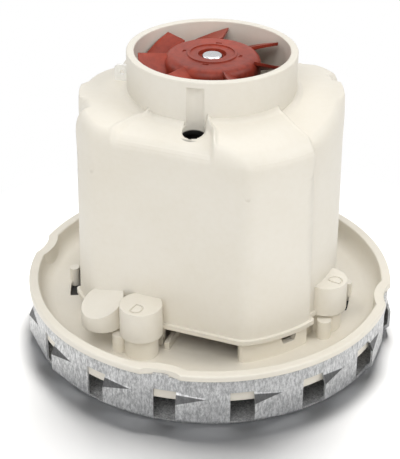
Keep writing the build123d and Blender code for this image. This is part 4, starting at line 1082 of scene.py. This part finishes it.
@dataclass
class Studio:
    """Floor, lamps and surroundings, in metres.

    Args:
        floor_reach: How far the floor goes each way.
        floor_tone: Colour of the floor, linear.
        floor_roughness: Roughness of the floor.
        glow_start: Distance from the spin axis where the floor begins to turn plain white.
        glow_end: Distance where it is plain white.
        world_light: Strength of the light from all round.
        world_tint: Colour of that light.
        target_height: Height of the place that the lamps are aimed at.
    """

    floor_reach: float = 4.0
    floor_tone: Colour = (0.93, 0.93, 0.93)
    floor_roughness: float = 0.9
    glow_start: float = 0.085
    glow_end: float = 0.15
    world_light: float = 0.07
    world_tint: Colour = (0.82, 0.88, 1.0)
    target_height: float = 0.06

    def floor(self) -> bpy.types.Object:
        """Lays the pale floor, which keeps the object's shadow.

        Returns:
            The floor.
        """
        mesh = bpy.data.meshes.new("floor")
        reach = self.floor_reach
        corners = [(-reach, -reach, 0.0), (reach, -reach, 0.0), (reach, reach, 0.0), (-reach, reach, 0.0)]
        mesh.from_pydata(corners, [], [(0, 1, 2, 3)])
        floor = bpy.data.objects.new("floor", mesh)
        bpy.context.scene.collection.objects.link(floor)
        mesh.materials.append(self.floor_material())
        return floor

    def floor_material(self) -> bpy.types.Material:
        """Makes the floor's material, which turns plain white away from the object.

        Returns:
            The material.
        """
        material = bpy.data.materials.new("floor")
        material.use_nodes = True
        tree = material.node_tree
        graph = Graph(tree)
        shader = tree.nodes["Principled BSDF"]
        shader.inputs["Base Color"].default_value = (*self.floor_tone, 1.0)
        shader.inputs["Roughness"].default_value = self.floor_roughness
        glow = graph.node("ShaderNodeEmission", None, Color=(1.0, 1.0, 1.0), Strength=1.0)
        away = graph.node("ShaderNodeVectorMath", {"operation": "LENGTH"}, Vector=graph.place())
        far = graph.level(away.outputs["Value"], self.glow_start, self.glow_end)
        mix = graph.node("ShaderNodeMixShader")
        graph.feed(mix.inputs[0], graph.product(self.seen_directly(graph), far))
        graph.feed(mix.inputs[1], shader.outputs[0])
        graph.feed(mix.inputs[2], glow.outputs[0])
        graph.feed(tree.nodes["Material Output"].inputs["Surface"], mix.outputs[0])
        return material

    @staticmethod
    def seen_directly(graph: Graph) -> bpy.types.NodeSocket:
        """Tells where the camera, a mirror or a pane sees the surroundings.

        Args:
            graph: Writer for the tree that needs it.

        Returns:
            A socket that is 1 there and 0 elsewhere.
        """
        path = graph.node("ShaderNodeLightPath").outputs
        mirrored = graph.math("MAXIMUM", path["Is Glossy Ray"], path["Is Transmission Ray"])
        return graph.math("MAXIMUM", path["Is Camera Ray"], mirrored)

    def lamps(self, floor: bpy.types.Object) -> None:
        """Hangs the soft lamps, each aimed at the middle of the object.

        Args:
            floor: The floor.
        """
        target = Vector((0.0, 0.0, self.target_height))
        for lamp in LAMPS:
            light = bpy.data.lights.new(lamp.name, "AREA")
            light.shape = "RECTANGLE"
            light.size, light.size_y = lamp.size
            light.energy = lamp.watts
            light.color = lamp.tint
            hung = bpy.data.objects.new(lamp.name, light)
            hung.location = lamp.place
            aim = target - Vector(lamp.place)
            hung.rotation_euler = aim.to_track_quat("-Z", "Y").to_euler()
            bpy.context.scene.collection.objects.link(hung)
            hung.light_linking.receiver_collection = self.reached(lamp.lights, floor)

    @staticmethod
    def reached(receiver: Receiver, floor: bpy.types.Object) -> bpy.types.Collection:
        """Finds or makes the collection for what a lamp lights.

        Args:
            receiver: What its light reaches.
            floor: The floor.

        Returns:
            A light linking collection that holds only the floor, or leaves it out.
        """
        name = f"lamps_{receiver.name.lower()}"
        if name not in bpy.data.collections:
            made = bpy.data.collections.new(name)
            made.objects.link(floor)
            made.collection_objects[0].light_linking.link_state = receiver.value
        return bpy.data.collections[name]

    def surroundings(self) -> None:
        """Fills the world with even light, white where the camera or a mirror sees it."""
        world = bpy.data.worlds.new("studio")
        world.use_nodes = True
        graph = Graph(world.node_tree)
        background = world.node_tree.nodes["Background"]
        seen = self.seen_directly(graph)
        graph.feed(background.inputs["Color"], graph.blend(seen, self.world_tint, (1.0, 1.0, 1.0)))
        graph.feed(background.inputs["Strength"], graph.level(seen, 0.0, 1.0, self.world_light, 1.0))
        bpy.context.scene.world = world

    def build(self) -> None:
        """Builds the whole studio."""
        self.lamps(self.floor())
        self.surroundings()
        bpy.context.scene.view_settings.view_transform = "Standard"
        log.info("the studio has %d lamps", len(LAMPS))


@dataclass(frozen=True)
class PhotoCamera:
    """The camera of the photograph, in metres and radians.

    Args:
        eye: Where it stands.
        azimuth: How far round it stands from the front, towards the right.
        elevation: How far it looks down.
        roll: How far it is tilted sideways.
        lens: Focal length in millimetres.
        sensor: Width of the sensor in millimetres.
        shift: Shift of the lens sideways and up, in sensor widths.
    """

    eye: tuple[float, float, float] = (0.15325, -0.40773, 0.29714)
    azimuth: float = radians(20.6)
    elevation: float = radians(28.56)
    roll: float = 0.0106
    lens: float = 96.3
    sensor: float = 36.0
    shift: tuple[float, float] = (-0.0236, -0.083)

    def build(self) -> None:
        """Sets the camera where the photograph was taken from."""
        flat = cos(self.elevation)
        ahead = Vector((-sin(self.azimuth) * flat, cos(self.azimuth) * flat, -sin(self.elevation)))
        level_right = Vector((cos(self.azimuth), sin(self.azimuth), 0.0))
        level_up = level_right.cross(ahead)
        right = level_right * cos(self.roll) + level_up * sin(self.roll)
        up = level_up * cos(self.roll) - level_right * sin(self.roll)
        lens = bpy.data.cameras.new("camera")
        lens.lens = self.lens
        lens.sensor_width = self.sensor
        lens.shift_x, lens.shift_y = self.shift
        camera = bpy.data.objects.new("camera", lens)
        turn = Matrix((right, up, -ahead)).transposed()
        camera.matrix_world = Matrix.Translation(self.eye) @ turn.to_4x4()
        bpy.context.scene.collection.objects.link(camera)
        bpy.context.scene.camera = camera
        log.info("the camera stands %.1f degrees round", degrees(self.azimuth))


def main() -> None:
    """Dresses the frame, builds the skin, the studio and the camera, and logs what it made."""
    logging.basicConfig(level=logging.INFO)
    palette = Palette()
    palette.dress()
    BrushSprings().shorten()
    ShoulderSkin().build(palette.materials["ivory_plastic"])
    Studio().build()
    PhotoCamera().build()


if __name__ == "__main__":
    main()
